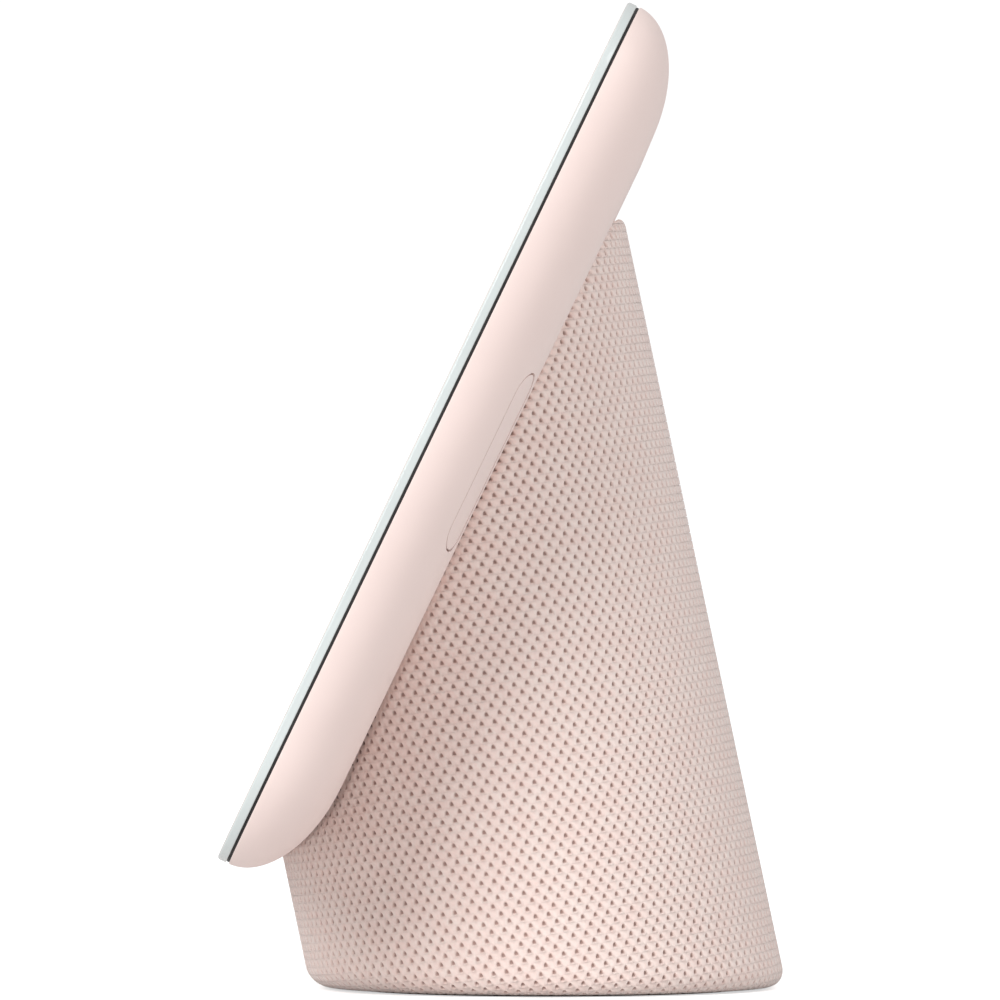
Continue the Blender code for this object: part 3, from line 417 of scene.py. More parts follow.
@dataclass(frozen=True)
class Finish:
    """A plain moulded, cast or plated surface with grain, uneven gloss and a little relief."""

    name: str
    colour: Colour
    roughness: float
    metallic: float = 0.0
    tone: float = 0.06
    grain: float = 900.0
    relief: float = 0.02 * MM
    coat: float = 0.0

    def material(self) -> bpy.types.Material:
        """The material, made on first use."""
        found = bpy.data.materials.get("finish_" + self.name)
        if found:
            return found
        recipe = Recipe("finish_" + self.name)
        dim: Colour = tuple(round(value * (1 - self.tone)) for value in self.colour)
        recipe.link(recipe.blend(recipe.ranged(recipe.noise(60.0), 0, 1), self.colour, dim),
                    recipe.shader.inputs["Base Color"])
        spread = recipe.ranged(recipe.noise(self.grain / 4), self.roughness - 0.05, self.roughness + 0.06)
        recipe.link(spread, recipe.shader.inputs["Roughness"])
        recipe.fixed(Metallic=self.metallic, Coat_Weight=self.coat)
        recipe.bumped(recipe.noise(self.grain, 4.0), self.relief, 0.35)
        return recipe.material


@dataclass(frozen=True)
class YarnFinish:
    """Melange yarn, with painted shade that darkens it down in the gaps between stitches."""

    light: Colour = (255, 240, 233)
    pale: Colour = (253, 228, 220)
    # deep is the colour of the painted shade in the gaps between stitches.
    deep: Colour = (180, 152, 144)
    sheen: float = 0.45

    def material(self) -> bpy.types.Material:
        """The material of the stitches, made on first use."""
        found = bpy.data.materials.get("finish_yarn")
        if found:
            return found
        recipe = Recipe("finish_yarn")
        tint = recipe.attribute("tint").outputs["Fac"]
        fibre = recipe.ranged(recipe.noise(2600.0, 4.0), 0, 1)
        mottle = recipe.sum("MULTIPLY", recipe.sum("ADD", tint, fibre), 0.5)
        surface = recipe.blend(mottle, self.light, self.pale)
        # Painted shade: the deep colour darkens the yarn by how far down in a stitch's gap each point lies.
        hollow = recipe.attribute("hollow").outputs["Fac"]
        recipe.link(recipe.blend(hollow, surface, self.deep), recipe.shader.inputs["Base Color"])
        recipe.link(recipe.ranged(fibre, 0.82, 0.95, 0, 1), recipe.shader.inputs["Roughness"])
        recipe.fixed(Sheen_Weight=self.sheen, Sheen_Roughness=0.5, Specular_IOR_Level=0.2)
        recipe.bumped(recipe.noise(5200.0, 5.0), 0.06 * MM, 0.5)
        return recipe.material


@dataclass(frozen=True)
class FrontFinish:
    """Back-painted glass: a pale border round the dark picture area, and a sensor between two ports."""

    border: Colour = (244, 236, 232)
    picture: Colour = (14, 15, 17)
    sensor: Colour = (46, 44, 44)
    half_picture: tuple[float, float] = (77.0 * MM, 45.0 * MM)
    sensor_at: tuple[float, float] = (0.0, 51.2 * MM)
    sensor_radius: float = 1.5 * MM

    def material(self) -> bpy.types.Material:
        """The material of the glass's front, made on first use."""
        recipe = Recipe("finish_glass_front")
        split = recipe.node("ShaderNodeSeparateXYZ")
        recipe.link(recipe.attribute("slab").outputs["Vector"], split.inputs[0])
        across, up = split.outputs[0], split.outputs[1]
        in_width = recipe.sum("LESS_THAN", recipe.sum("ABSOLUTE", across, 0.0), self.half_picture[0])
        in_height = recipe.sum("LESS_THAN", recipe.sum("ABSOLUTE", up, 0.0), self.half_picture[1])
        off_x = recipe.sum("POWER", recipe.sum("SUBTRACT", across, self.sensor_at[0]), 2.0)
        off_y = recipe.sum("POWER", recipe.sum("SUBTRACT", up, self.sensor_at[1]), 2.0)
        near = recipe.sum("LESS_THAN", recipe.sum("ADD", off_x, off_y), self.sensor_radius**2)
        paint = recipe.blend(recipe.ranged(recipe.noise(45.0), 0, 1), self.border, (240, 232, 227))
        glow = recipe.blend(recipe.ranged(recipe.noise(20.0), 0, 1), self.picture, (19, 20, 23))
        shown = recipe.blend(recipe.sum("MULTIPLY", in_width, in_height), paint, glow)
        recipe.link(recipe.blend(near, shown, self.sensor), recipe.shader.inputs["Base Color"])
        recipe.link(recipe.ranged(recipe.noise(110.0, 5.0), 0.04, 0.09), recipe.shader.inputs["Roughness"])
        recipe.fixed(IOR=1.52, Coat_Weight=0.6, Coat_Roughness=0.03)
        return recipe.material


GLASS_EDGE = Finish("glass_edge", (222, 229, 228), 0.12, tone=0.04, grain=250.0, relief=0.004 * MM, coat=0.8)
SEAL = Finish("seal", (36, 35, 35), 0.62, tone=0.12)
MOULDING = Finish("moulding", (250, 229, 223), 0.46, tone=0.018, grain=3800.0, relief=0.012 * MM)
BUTTON = Finish("button", (249, 228, 222), 0.43, tone=0.018, grain=3800.0, relief=0.010 * MM)
# The lining is a real layer, but its pink is darkened as painted shade, so any gap between cover and housing
# shows as a shadow line.
LINING_SHADE = Finish("lining", (150, 124, 116), 0.95, tone=0.14, grain=1800.0, relief=0.08 * MM)
INLET = Finish("inlet_plastic", (226, 204, 196), 0.5, tone=0.03, grain=2400.0, relief=0.012 * MM)

INNER_FINISHES: dict[str, Finish] = {
    "glass": GLASS_EDGE,
    "adhesive": SEAL,
    "panel": Finish("panel", (22, 22, 25), 0.18, tone=0.2, relief=0.004 * MM, coat=0.5),
    "light_guide": Finish("light_guide", (232, 236, 238), 0.22, tone=0.03, relief=0.004 * MM),
    "plated_steel": Finish("plated_steel", (192, 192, 190), 0.34, 1.0, 0.08, 1400.0, 0.006 * MM),
    "aluminium": Finish("aluminium", (184, 186, 189), 0.42, 1.0, 0.07, 2200.0, 0.008 * MM),
    "thermal_pad": Finish("thermal_pad", (122, 150, 178), 0.85, tone=0.1),
    "board": Finish("board", (26, 70, 50), 0.48, tone=0.25, grain=700.0, coat=0.2),
    "flex": Finish("flex", (172, 98, 34), 0.42, tone=0.15, coat=0.2),
    "module": Finish("module", (48, 48, 51), 0.5, tone=0.15),
    "housing": MOULDING,
    "steel": Finish("steel", (150, 150, 152), 0.32, 1.0, 0.1, 1600.0, 0.006 * MM),
    "black_plastic": Finish("black_plastic", (32, 32, 34), 0.5, tone=0.15, grain=2400.0),
    # The imported fabric takes the lining's pink, darkened as painted shade.
    "fabric": LINING_SHADE,
    "core": Finish("core", (212, 192, 185), 0.6, tone=0.05, grain=1800.0),
    "foot": Finish("foot", (196, 172, 164), 0.8, tone=0.08, grain=2600.0, relief=0.04 * MM),
    "magnet": Finish("magnet", (62, 62, 66), 0.42, 1.0, 0.15),
    "cone": Finish("cone", (42, 42, 46), 0.72, tone=0.2, grain=1500.0, relief=0.05 * MM),
    "rubber": Finish("rubber", (24, 24, 24), 0.82, tone=0.2, grain=1500.0),
    "spider": Finish("spider", (196, 160, 92), 0.92, tone=0.2, grain=1200.0, relief=0.06 * MM),
    "copper": Finish("copper", (190, 112, 72), 0.34, 1.0, 0.12, 1500.0),
    "foam": Finish("foam", (56, 56, 60), 0.95, tone=0.2, grain=1300.0, relief=0.1 * MM),
}


def dressed(piece: bpy.types.Object, *materials: bpy.types.Material) -> None:
    """Give a new piece its materials, in slot order."""
    piece.data.materials.clear()
    for material in materials:
        piece.data.materials.append(material)


# ---- The screen half ----


@dataclass
class Slab:
    """The screen half's own frame and the outer form of its housing.

    Local X runs across the screen, Y up it and Z out of it, from the middle of the glass front.
    """

    width: float = 177.4 * MM
    height: float = 114.2 * MM
    depth: float = 9.75 * MM
    corner: float = 15.0 * MM
    lean: float = math.radians(25.65)
    glass: float = 1.2 * MM
    rim_start: float = 1.55 * MM
    rim_inset: float = 14.0 * MM
    wall: float = 1.6 * MM
    corner_steps: int = 22
    along: tuple[int, int] = (40, 64)

    def place(self) -> Matrix:
        """The frame's matrix, found from where the cover glass lies."""
        low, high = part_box("cover_glass")
        out = Vector((0, -math.cos(self.lean), math.sin(self.lean)))
        up = Vector((0, math.sin(self.lean), math.cos(self.lean)))
        middle = (low + high) / 2 + out * self.glass / 2
        turn = Matrix((Vector((1, 0, 0)), up, out)).transposed()
        return Matrix.Translation(middle) @ turn.to_4x4()

    def loop(self, inset: float, depth: float) -> list[Vector]:
        """World points round the slab.

        Args:
            inset: How far in from the outline.
            depth: How far behind the glass front.

        Returns:
            One loop.
        """
        place = self.place()
        half = (self.width / 2 - inset, self.height / 2 - inset)
        flat = rounded_loop(half, max(self.corner - inset, 0.6 * MM), self.corner_steps, self.along)
        return [place @ Vector((point.x, point.y, -depth)) for point in flat]

    def rim(self, turn: float, wall: float = 0.0) -> tuple[float, float]:
        """Inset and depth of the rear shoulder at a turn in radians, under a wall's thickness."""
        inset = wall + (self.rim_inset - wall) * (1 - math.cos(turn))
        return inset, self.rim_start + (self.depth - self.rim_start - wall) * math.sin(turn)

    def rim_place(self, turn_degrees: float, on_side: bool) -> Matrix:
        """A frame on the rear shoulder, with Z out of the surface and Y along the opening there.

        Args:
            turn_degrees: How far round the shoulder.
            on_side: On the right-hand side, or else on the top.

        Returns:
            The frame's world matrix.
        """
        turn = math.radians(turn_degrees)
        inset, depth = self.rim(turn)
        slope = math.atan2((self.depth - self.rim_start) * math.cos(turn), self.rim_inset * math.sin(turn))
        if on_side:
            at = Vector((self.width / 2 - inset, 0, -depth))
            out, along = Vector((math.sin(slope), 0, -math.cos(slope))), Vector((0, 1, 0))
        else:
            at = Vector((0, self.height / 2 - inset, -depth))
            out, along = Vector((0, math.sin(slope), -math.cos(slope))), Vector((1, 0, 0))
        turned = Matrix((along.cross(out), along, out)).transposed().to_4x4()
        return self.place() @ Matrix.Translation(at) @ turned

    def form(self, name: str, wall: float, steps: int) -> bpy.types.Object:
        """The housing's outer form as one solid, taken in by a wall."""
        turns = [math.pi / 2 * step / steps for step in range(steps + 1)]
        return lofted(name, [self.loop(*self.rim(turn, wall)) for turn in turns])

    def behind(self, points: np.ndarray) -> np.ndarray:
        """How far each world point lies behind the housing's back.

        Args:
            points: World points, one a row.

        Returns:
            The distance of each, negative inside or in front.
        """
        inverse = np.array(self.place().inverted())
        local = points @ inverse[:3, :3].T + inverse[:3, 3]
        inset = self.height / 2 - np.abs(local[:, 1])
        share = np.clip(inset / self.rim_inset, 0, 1)
        surface = self.rim_start + (self.depth - self.rim_start) * np.sqrt(1 - (1 - share) ** 2)
        return np.where(inset < 0, 1.0, -local[:, 2] - surface)


@dataclass
class Front:
    """Cover glass with eased edges and two microphone ports, and the dark seal behind it."""

    slab: Slab
    front_ease: float = 0.38 * MM
    back_ease: float = 0.15 * MM
    ease_steps: int = 6
    port_x: float = 21.0 * MM
    port_y: float = 51.2 * MM
    port_radius: float = 0.55 * MM
    port_depth: float = 0.5 * MM
    seal_inset: float = 0.22 * MM
    seal_width: float = 3.0 * MM
    seal_clear: float = 0.01 * MM

    def profile(self) -> list[tuple[float, float]]:
        """Inset and depth of each loop of the glass, front to back."""
        made: list[tuple[float, float]] = []
        for step in range(self.ease_steps + 1):
            turn = math.pi / 2 * step / self.ease_steps
            made.append((self.front_ease * (1 - math.sin(turn)), self.front_ease * (1 - math.cos(turn))))
        for step in range(self.ease_steps + 1):
            turn = math.pi / 2 * step / self.ease_steps
            depth = self.slab.glass - self.back_ease * (1 - math.sin(turn))
            made.append((self.back_ease * (1 - math.cos(turn)), depth))
        return made

    def build_glass(self) -> bpy.types.Object:
        """The glass, with its place in the slab stored for the printed border."""
        glass = lofted("front_glass", [self.slab.loop(*at) for at in self.profile()])
        place = self.slab.place()
        for side in (-1, 1):
            hole = place @ Matrix.Translation((side * self.port_x, self.port_y, 0))
            turns = [2 * math.pi * step / 24 for step in range(24)]
            ends = [
                [hole @ Vector((self.port_radius * math.cos(turn), self.port_radius * math.sin(turn), z))
                 for turn in turns]
                for z in (-self.port_depth, 1 * MM)
            ]
            worked(glass, lofted("port", ends), Cut.TAKE_OUT)
        self.mark_slab(glass)
        dressed(glass, FrontFinish().material(), GLASS_EDGE.material())
        front = self.slab.place().to_3x3() @ Vector((0, 0, 1))
        for face in glass.data.polygons:
            face.material_index = 0 if face.normal.dot(front) > 0.72 else 1
        smoothed(glass, 30.0)
        return glass

    def mark_slab(self, piece: bpy.types.Object) -> None:
        """Store each point's place in the slab's frame on the mesh."""
        inverse = self.slab.place().inverted()
        stored = piece.data.attributes.new("slab", "FLOAT_VECTOR", "POINT")
        for point, value in zip(piece.data.vertices, stored.data):
            value.vector = inverse @ point.co

    def build_seal(self) -> bpy.types.Object:
        """The dark bead that shows as a line between the glass and the housing."""
        front = self.slab.glass + self.seal_clear
        back = self.slab.rim_start - self.seal_clear
        outer, inner = self.seal_inset, self.seal_inset + self.seal_width
        bulge = 0.06 * MM
        section = [
            (outer, front), (outer - bulge, (front + back) / 2), (outer, back), (inner, back), (inner, front),
        ]
        seal = lofted("glass_seal", [self.slab.loop(*at) for at in section], ringed=True)
        smoothed(seal)
        dressed(seal, SEAL.material())
        return seal

    def build(self) -> None:
        """Make and hand over both pieces."""
        handed_over(self.build_glass(), Body.HOUSING, ["cover_glass"])
        handed_over(self.build_seal(), Body.HOUSING, ["glass_adhesive"])


@dataclass
class VolumeRocker:
    """Long rocker let into the housing's right shoulder, flush with its curve."""

    slab: Slab
    turn: float = 67.0
    length: float = 23.2 * MM
    width: float = 5.5 * MM
    clear: float = 0.28 * MM
    sunk: float = 0.04 * MM
    flange_top: float = 2.5 * MM
    flange_back: float = 3.0 * MM
    flange_past: float = 1.2 * MM
    ease: float = 0.2 * MM

    def slot(self) -> bpy.types.Object:
        """The solid that cuts its opening."""
        size = (self.length + 2 * self.clear, self.width + 2 * self.clear)
        return pill("rocker_slot", self.slab.rim_place(self.turn, True), size, (-4 * MM, 4 * MM))

    def build(self) -> None:
        """Make and hand over the rocker."""
        place = self.slab.rim_place(self.turn, True)
        rocker = self.slab.form("volume_button", self.sunk, 64)
        plug = pill("rocker_plug", place, (self.length, self.width),
                    (-self.flange_back + 0.2 * MM, 4 * MM))
        worked(rocker, plug, Cut.KEEP_SHARED)
        eased(rocker, self.ease, 3)
        past = 2 * self.flange_past
        flange = pill("rocker_flange", place, (self.length + past, self.width + past),
                      (-self.flange_back, -self.flange_top))
        worked(rocker, flange, Cut.JOIN)
        smoothed(rocker)
        dressed(rocker, BUTTON.material())
        handed_over(rocker, Body.ROCKER, ["volume_rocker"])


@dataclass
class MuteSlider:
    """Small ribbed slider in a slot in the top of the housing's back."""

    slab: Slab
    turn: float = 75.0
    length: float = 7.6 * MM
    width: float = 3.6 * MM
    travel: float = 3.0 * MM
    clear: float = 0.25 * MM
    sunk: float = 0.35 * MM
    flange_top: float = 2.2 * MM
    flange_back: float = 2.7 * MM
    rib_pitch: float = 1.3 * MM
    rib_count: int = 3

    def slot(self) -> bpy.types.Object:
        """The solid that cuts its opening."""
        size = (self.length + self.travel + 2 * self.clear, self.width + 2 * self.clear)
        return pill("mute_slot", self.slab.rim_place(self.turn, False), size, (-4 * MM, 4 * MM))

    def build(self) -> None:
        """Make and hand over the slider."""
        place = self.slab.rim_place(self.turn, False)
        rest = -self.travel / 2
        slider = pill("mute_button", place, (self.length, self.width),
                      (-self.flange_back + 0.1 * MM, -self.sunk), rest)
        middle = (self.rib_count - 1) / 2
        for number in range(self.rib_count):
            at = rest + (number - middle) * self.rib_pitch
            groove = pill("mute_groove", place, (0.5 * MM, 0.45 * MM), (-self.sunk - 0.18 * MM, 1 * MM), at)
            groove.data.transform(place @ Matrix.Diagonal((5.0, 1.0, 1.0, 1.0)) @ place.inverted())
            worked(slider, groove, Cut.TAKE_OUT)
        eased(slider, 0.1 * MM, 2)
        flange_size = (self.length + 2 * self.travel + 1.8 * MM, self.width + 1.8 * MM)
        flange = pill("mute_flange", place, flange_size, (-self.flange_back, -self.flange_top), rest)
        worked(slider, flange, Cut.JOIN)
        smoothed(slider)
        dressed(slider, BUTTON.material())
        handed_over(slider, Body.SLIDER, ["mute_slider"])


@dataclass
class Housing:
    """Moulded rear shell: flat back, swept shoulder, thin wall, and openings for controls and leads."""

    slab: Slab
    rim_steps: int = 52
    lip: float = 0.16 * MM
    lip_steps: int = 4
    opening_ease: float = 0.09 * MM

    def outer(self) -> list[tuple[float, float]]:
        """Inset and depth of the outside, front to back."""
        made: list[tuple[float, float]] = []
        for step in range(self.lip_steps):
            turn = math.pi / 2 * step / self.lip_steps
            depth = self.slab.rim_start + self.lip * (1 - math.cos(turn))
            made.append((self.lip * (1 - math.sin(turn)), depth))
        first = math.asin(self.lip / (self.slab.depth - self.slab.rim_start))
        for step in range(self.rim_steps + 1):
            made.append(self.slab.rim(first + (math.pi / 2 - first) * step / self.rim_steps))
        return made

    def inner(self) -> list[tuple[float, float]]:
        """Inset and depth of the inside, back to front."""
        steps = 16
        return [self.slab.rim(math.pi / 2 * step / steps, self.slab.wall) for step in range(steps, -1, -1)]

    def build(self, openings: Sequence[bpy.types.Object]) -> None:
        """Make and hand over the shell.

        Args:
            openings: Solids that cut its openings.
        """
        shell = lofted("rear_housing", [self.slab.loop(*at) for at in self.outer()])
        hollow = [self.slab.loop(*at) for at in self.inner()]
        hollow.append(self.slab.loop(self.slab.wall, self.slab.rim_start - 2 * MM))
        worked(shell, lofted("housing_hollow", hollow), Cut.TAKE_OUT)
        for opening in openings:
            worked(shell, opening, Cut.TAKE_OUT)
        eased(shell, self.opening_ease, 2, 55.0)
        smoothed(shell)
        dressed(shell, MOULDING.material())
        handed_over(shell, Body.HOUSING, ["rear_shell"])

    def lead_window(self) -> bpy.types.Object:
        """The opening behind the stand that the leads pass through, found from where the flat lead runs."""
        low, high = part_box("neck_plate")
        place = self.slab.place()
        middle = place.inverted() @ ((low + high) / 2)
        at = place @ Matrix.Translation((0, middle.y, -self.slab.depth))
        return pill("lead_opening", at, (28 * MM, 19 * MM), (-3 * MM, 4 * MM))


# ---- The stand ----


@dataclass
class StandForm:
    """The stand's leaning form: round ends joined by straights, rolled under at foot and over at top."""

    half_width: float = 57.0 * MM
    half_depth: float = 29.52 * MM
    end: float = 33.5 * MM
    lean: float = math.radians(11.9)
    taper: float = math.radians(4)
    tilt: float = math.radians(9.4)
    foot_round: float = 2.5 * MM
    top_round: float = 1.25 * MM
    foot_inset: float = 5.1 * MM
    foot_drop: float = 0.35 * MM
    top_rise: float = 0.4 * MM
    even_height: float = 45.0 * MM

    def __post_init__(self) -> None:
        """Measure the way round, so that a share of it can be turned into a place."""
        sweep, across = np.linspace(-math.pi / 2, math.pi / 2, 2001), np.linspace(1, -1, 201)
        flat = np.full_like(across, math.pi / 2)
        self.turns: np.ndarray = np.concatenate([sweep, flat, sweep + math.pi, flat + math.pi])
        self.sides: np.ndarray = np.concatenate([np.ones_like(sweep), across, -np.ones_like(sweep), -across])
        x = self.sides * self.straight(self.even_height) + self.end * np.cos(self.turns)
        y = self.half_depth * np.sin(self.turns)
        length = np.concatenate([[0], np.cumsum(np.hypot(np.diff(x), np.diff(y)))])
        self.perimeter: float = float(length[-1])
        self.shares: np.ndarray = length / self.perimeter

    def straight(self, level: np.ndarray | float) -> np.ndarray | float:
        """Half the length of the straights at a height."""
        return self.half_width - self.end - math.tan(self.taper) * level

    def heights(self) -> tuple[float, float]:
        """Heights at which the side starts above the foot and ends below the top."""
        low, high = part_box("fabric_sleeve")
        return low.z - self.foot_drop + self.foot_round, high.z + self.top_rise - self.top_round

    def rolled(self, run: np.ndarray, inset: np.ndarray | float) -> tuple[np.ndarray, np.ndarray]:
        """Bend a straight run up the side round the foot and over the top.

        Args:
            run: Heights, as if the side ran on straight.
            inset: Distance inside the outer face.

        Returns:
            Inset and height of each.
        """
        low, high = self.heights()
        into, level = np.full_like(run, inset), np.clip(run, low, high)
        for past, radius, sign in ((low - run, self.foot_round, -1), (run - high, self.top_round, 1)):
            edge = low if sign < 0 else high
            inner = radius - inset
            turn = np.clip(past / radius, 0, math.pi / 2)
            flat = np.clip(past - radius * math.pi / 2, 0, None)
            beyond = past > 0
            into = np.where(beyond, inset + inner * (1 - np.cos(turn)) + flat, into)
            level = np.where(beyond, edge + sign * inner * np.sin(turn), level)
        return into, level

    def at(self, share: np.ndarray, run: np.ndarray, inset: np.ndarray | float) -> np.ndarray:
        """World points on the cover.

        Args:
            share: Share of the way round, from the front of the +X end towards +Y.
            run: Heights along the side.
            inset: Distance inside the outer face.

        Returns:
            Points, one a row.
        """
        turn = np.interp(share % 1.0, self.shares, self.turns)
        side = np.interp(share % 1.0, self.shares, self.sides)
        into, level = self.rolled(run, inset)
        x = side * self.straight(level) + (self.end - into) * np.cos(turn)
        y = (self.half_depth - into) * np.sin(turn) - math.tan(self.lean) * level
        return np.stack([x, y, level], axis=1)

    def climb(self) -> float:
        """How much a course's level rises for each unit of height up the side."""
        return 1 + math.tan(self.tilt) * math.tan(self.lean)

    def run_of(self, course: np.ndarray, share: np.ndarray) -> np.ndarray:
        """Heights along the side of a course, whose plane tips up towards the back."""
        turn = np.interp(share % 1.0, self.shares, self.turns)
        return (course + math.tan(self.tilt) * self.half_depth * np.sin(turn)) / self.climb()


@dataclass
class Stitch:
    """One knitted loop: a puffed cell round a three-cornered gap, in millimetres about its middle.

    Cells meet edge to edge in half-offset rows, so the level of the corners is also the level of the middles
    of the upper and lower edges.
    """

    course: float = 1.02
    gap: tuple[tuple[float, float], ...] = (
        (-0.27, -0.25), (0.0, -0.30), (0.27, -0.25), (0.24, 0.02),
        (0.13, 0.24), (0.0, 0.30), (-0.13, 0.24), (-0.24, 0.02),
    )
    crest: float = 0.20
    lip: float = 0.05
    side: float = 0.08
    floor: float = -0.18
    crest_spread: float = 1.5
    floor_spread: float = 0.62
    crest_limit: float = 0.92

    def mesh(self, pitch: float) -> bpy.types.Object:
        """The cell as an object, as wide as the pitch in millimetres, with each point's weight of painted gap
        shade stored.
        """
        x, y = pitch / 2, self.course / 2
        edge = [(-x, -y, 0.0), (0, -y, 0.0), (x, -y, 0.0), (x, 0, self.side),
                (x, y, 0.0), (0, y, 0.0), (-x, y, 0.0), (-x, 0, self.side)]
        crest = [
            (a * self.crest_spread, min(b * self.crest_spread, y * self.crest_limit), self.crest)
            for a, b in self.gap
        ]
        lip = [(a, b, self.lip) for a, b in self.gap]
        floor = [(a * self.floor_spread, b * self.floor_spread, self.floor) for a, b in self.gap]
        rings = [edge, crest, lip, floor]
        points = [Vector(point) * MM for ring in rings for point in ring] + [Vector((0, 0, self.floor)) * MM]
        faces: list[Sequence[int]] = []
        for ring in range(3):
            for step in range(8):
                after = (step + 1) % 8
                faces.append((ring * 8 + step, ring * 8 + after, ring * 8 + 8 + after, ring * 8 + 8 + step))
        faces.extend((24 + step, 24 + (step + 1) % 8, 32) for step in range(8))
        cell = piece_from("stitch_cell", points, faces)
        depth = cell.data.attributes.new("hollow", "FLOAT", "POINT")
        # Weight of painted shade: none on the edge and crest, a little on the lip, nearly full on the floor
        # and middle of the gap.
        levels = [0.0] * 16 + [0.3] * 8 + [0.92] * 8 + [1.0]
        depth.data.foreach_set("value", levels)
        return cell


class StitchTree:
    """Geometry Nodes tree that sets one stitch on every point and welds the rows together."""

    def __init__(self) -> None:
        """Build the tree, with named inputs for its stitch, weld, seed and finish."""
        self.tree = bpy.data.node_groups.new("knit_rows", "GeometryNodeTree")
        face = self.tree.interface
        face.new_socket("Geometry", in_out="INPUT", socket_type="NodeSocketGeometry")
        self.inputs = {
            name: face.new_socket(name, in_out="INPUT", socket_type=kind).identifier
            for name, kind in (
                ("Stitch", "NodeSocketObject"), ("Weld distance", "NodeSocketFloat"),
                ("Seed", "NodeSocketInt"), ("Finish", "NodeSocketMaterial"),
            )
        }
        face.new_socket("Geometry", in_out="OUTPUT", socket_type="NodeSocketGeometry")
        self.lay_nodes()

    def lay_nodes(self) -> None:
        """Add the nodes and join them."""
        new, link = self.tree.nodes.new, self.tree.links.new
        start, end = new("NodeGroupInput"), new("NodeGroupOutput")
        cell = new("GeometryNodeObjectInfo")
        link(start.outputs["Stitch"], cell.inputs["Object"])
        lay = new("GeometryNodeInstanceOnPoints")
        link(start.outputs["Geometry"], lay.inputs["Points"])
        link(cell.outputs["Geometry"], lay.inputs["Instance"])
        chance = new("FunctionNodeRandomValue")
        chance.data_type = "FLOAT"
        link(start.outputs["Seed"], chance.inputs["Seed"])
        keep = new("GeometryNodeStoreNamedAttribute")
        keep.data_type, keep.domain = "FLOAT", "INSTANCE"
        keep.inputs["Name"].default_value = "tint"
        link(lay.outputs["Instances"], keep.inputs["Geometry"])
        link(next(out for out in chance.outputs if out.enabled), keep.inputs["Value"])
        weld = new("GeometryNodeMergeByDistance")
        real, finish = new("GeometryNodeRealizeInstances"), new("GeometryNodeSetMaterial")
        smooth = new("GeometryNodeSetShadeSmooth")
        link(keep.outputs["Geometry"], real.inputs["Geometry"])
        link(real.outputs["Geometry"], weld.inputs["Geometry"])
        link(start.outputs["Weld distance"], weld.inputs["Distance"])
        link(weld.outputs["Geometry"], smooth.inputs["Geometry"])
        link(smooth.outputs["Geometry"], finish.inputs["Geometry"])
        link(start.outputs["Finish"], finish.inputs["Material"])
        link(finish.outputs["Geometry"], end.inputs["Geometry"])

    def run(self, name: str, points: bpy.types.Object, values: dict[str, object]) -> bpy.types.Object:
        """Run the tree on points and return the result as a plain piece.

        Args:
            name: The piece's name.
            points: The points object, which is removed.
            values: A value for each named input.

        Returns:
            The new piece.
        """
        modifier = points.modifiers.new("knit", "NODES")
        modifier.node_group = self.tree
        for key, value in values.items():
            modifier[self.inputs[key]] = value
        baked(points)
        points.name = points.data.name = name
        return points


def numbers(source: bpy.types.bpy_prop_collection, name: str, width: int = 1,
            kind: type = np.float32) -> np.ndarray:
    """Read one property of every item of a mesh's collection.

    Args:
        source: The collection.
        name: The property.
        width: How many numbers each item has.
        kind: The type of number.

    Returns:
        The values, one item a row.
    """
    values = np.empty(len(source) * width, kind)
    source.foreach_get(name, values)
    return values.reshape(-1, width) if width > 1 else values


def parted(piece: bpy.types.Object, most: int, carried: Sequence[str]) -> list[bpy.types.Object]:
    """Split a large piece into several that meet without a visible seam.

    Args:
        piece: The piece, which is removed.
        most: The most triangles a part may have.
        carried: Names of the point attributes that the parts keep.

    Returns:
        The parts, each shaded with the whole piece's normals.
    """
    whole = piece.data
    points, normals = numbers(whole.vertices, "co", 3), numbers(whole.vertex_normals, "vector", 3)
    corners = numbers(whole.loops, "vertex_index", kind=np.int32)
    starts = numbers(whole.polygons, "loop_start", kind=np.int32)
    ends = starts + numbers(whole.polygons, "loop_total", kind=np.int32)
    stored = {name: numbers(whole.attributes[name].data, "value") for name in carried}
    triangles = len(corners) - 2 * len(starts)
    made = []
    for number, faces in enumerate(np.array_split(np.arange(len(starts)), math.ceil(triangles / most))):
        first, last = starts[faces[0]], ends[faces[-1]]
        used, own = np.unique(corners[first:last], return_inverse=True)
        mesh = bpy.data.meshes.new(f"{piece.name}_{number + 1}")
        mesh.vertices.add(len(used))
        mesh.vertices.foreach_set("co", points[used].ravel())
        mesh.loops.add(last - first)
        mesh.loops.foreach_set("vertex_index", own.astype(np.int32))
        mesh.polygons.add(len(faces))
        mesh.polygons.foreach_set("loop_start", starts[faces] - first)
        mesh.update(calc_edges=True)
        for name, values in stored.items():
            mesh.attributes.new(name, "FLOAT", "POINT").data.foreach_set("value", values[used])
        for material in filter(None, whole.materials):
            mesh.materials.append(material)
        mesh.shade_smooth()
        mesh.normals_split_custom_set_from_vertices(normals[used])
        part = bpy.data.objects.new(mesh.name, mesh)
        bpy.context.scene.collection.objects.link(part)
        made.append(part)
    bpy.data.objects.remove(piece, do_unlink=True)
    return made


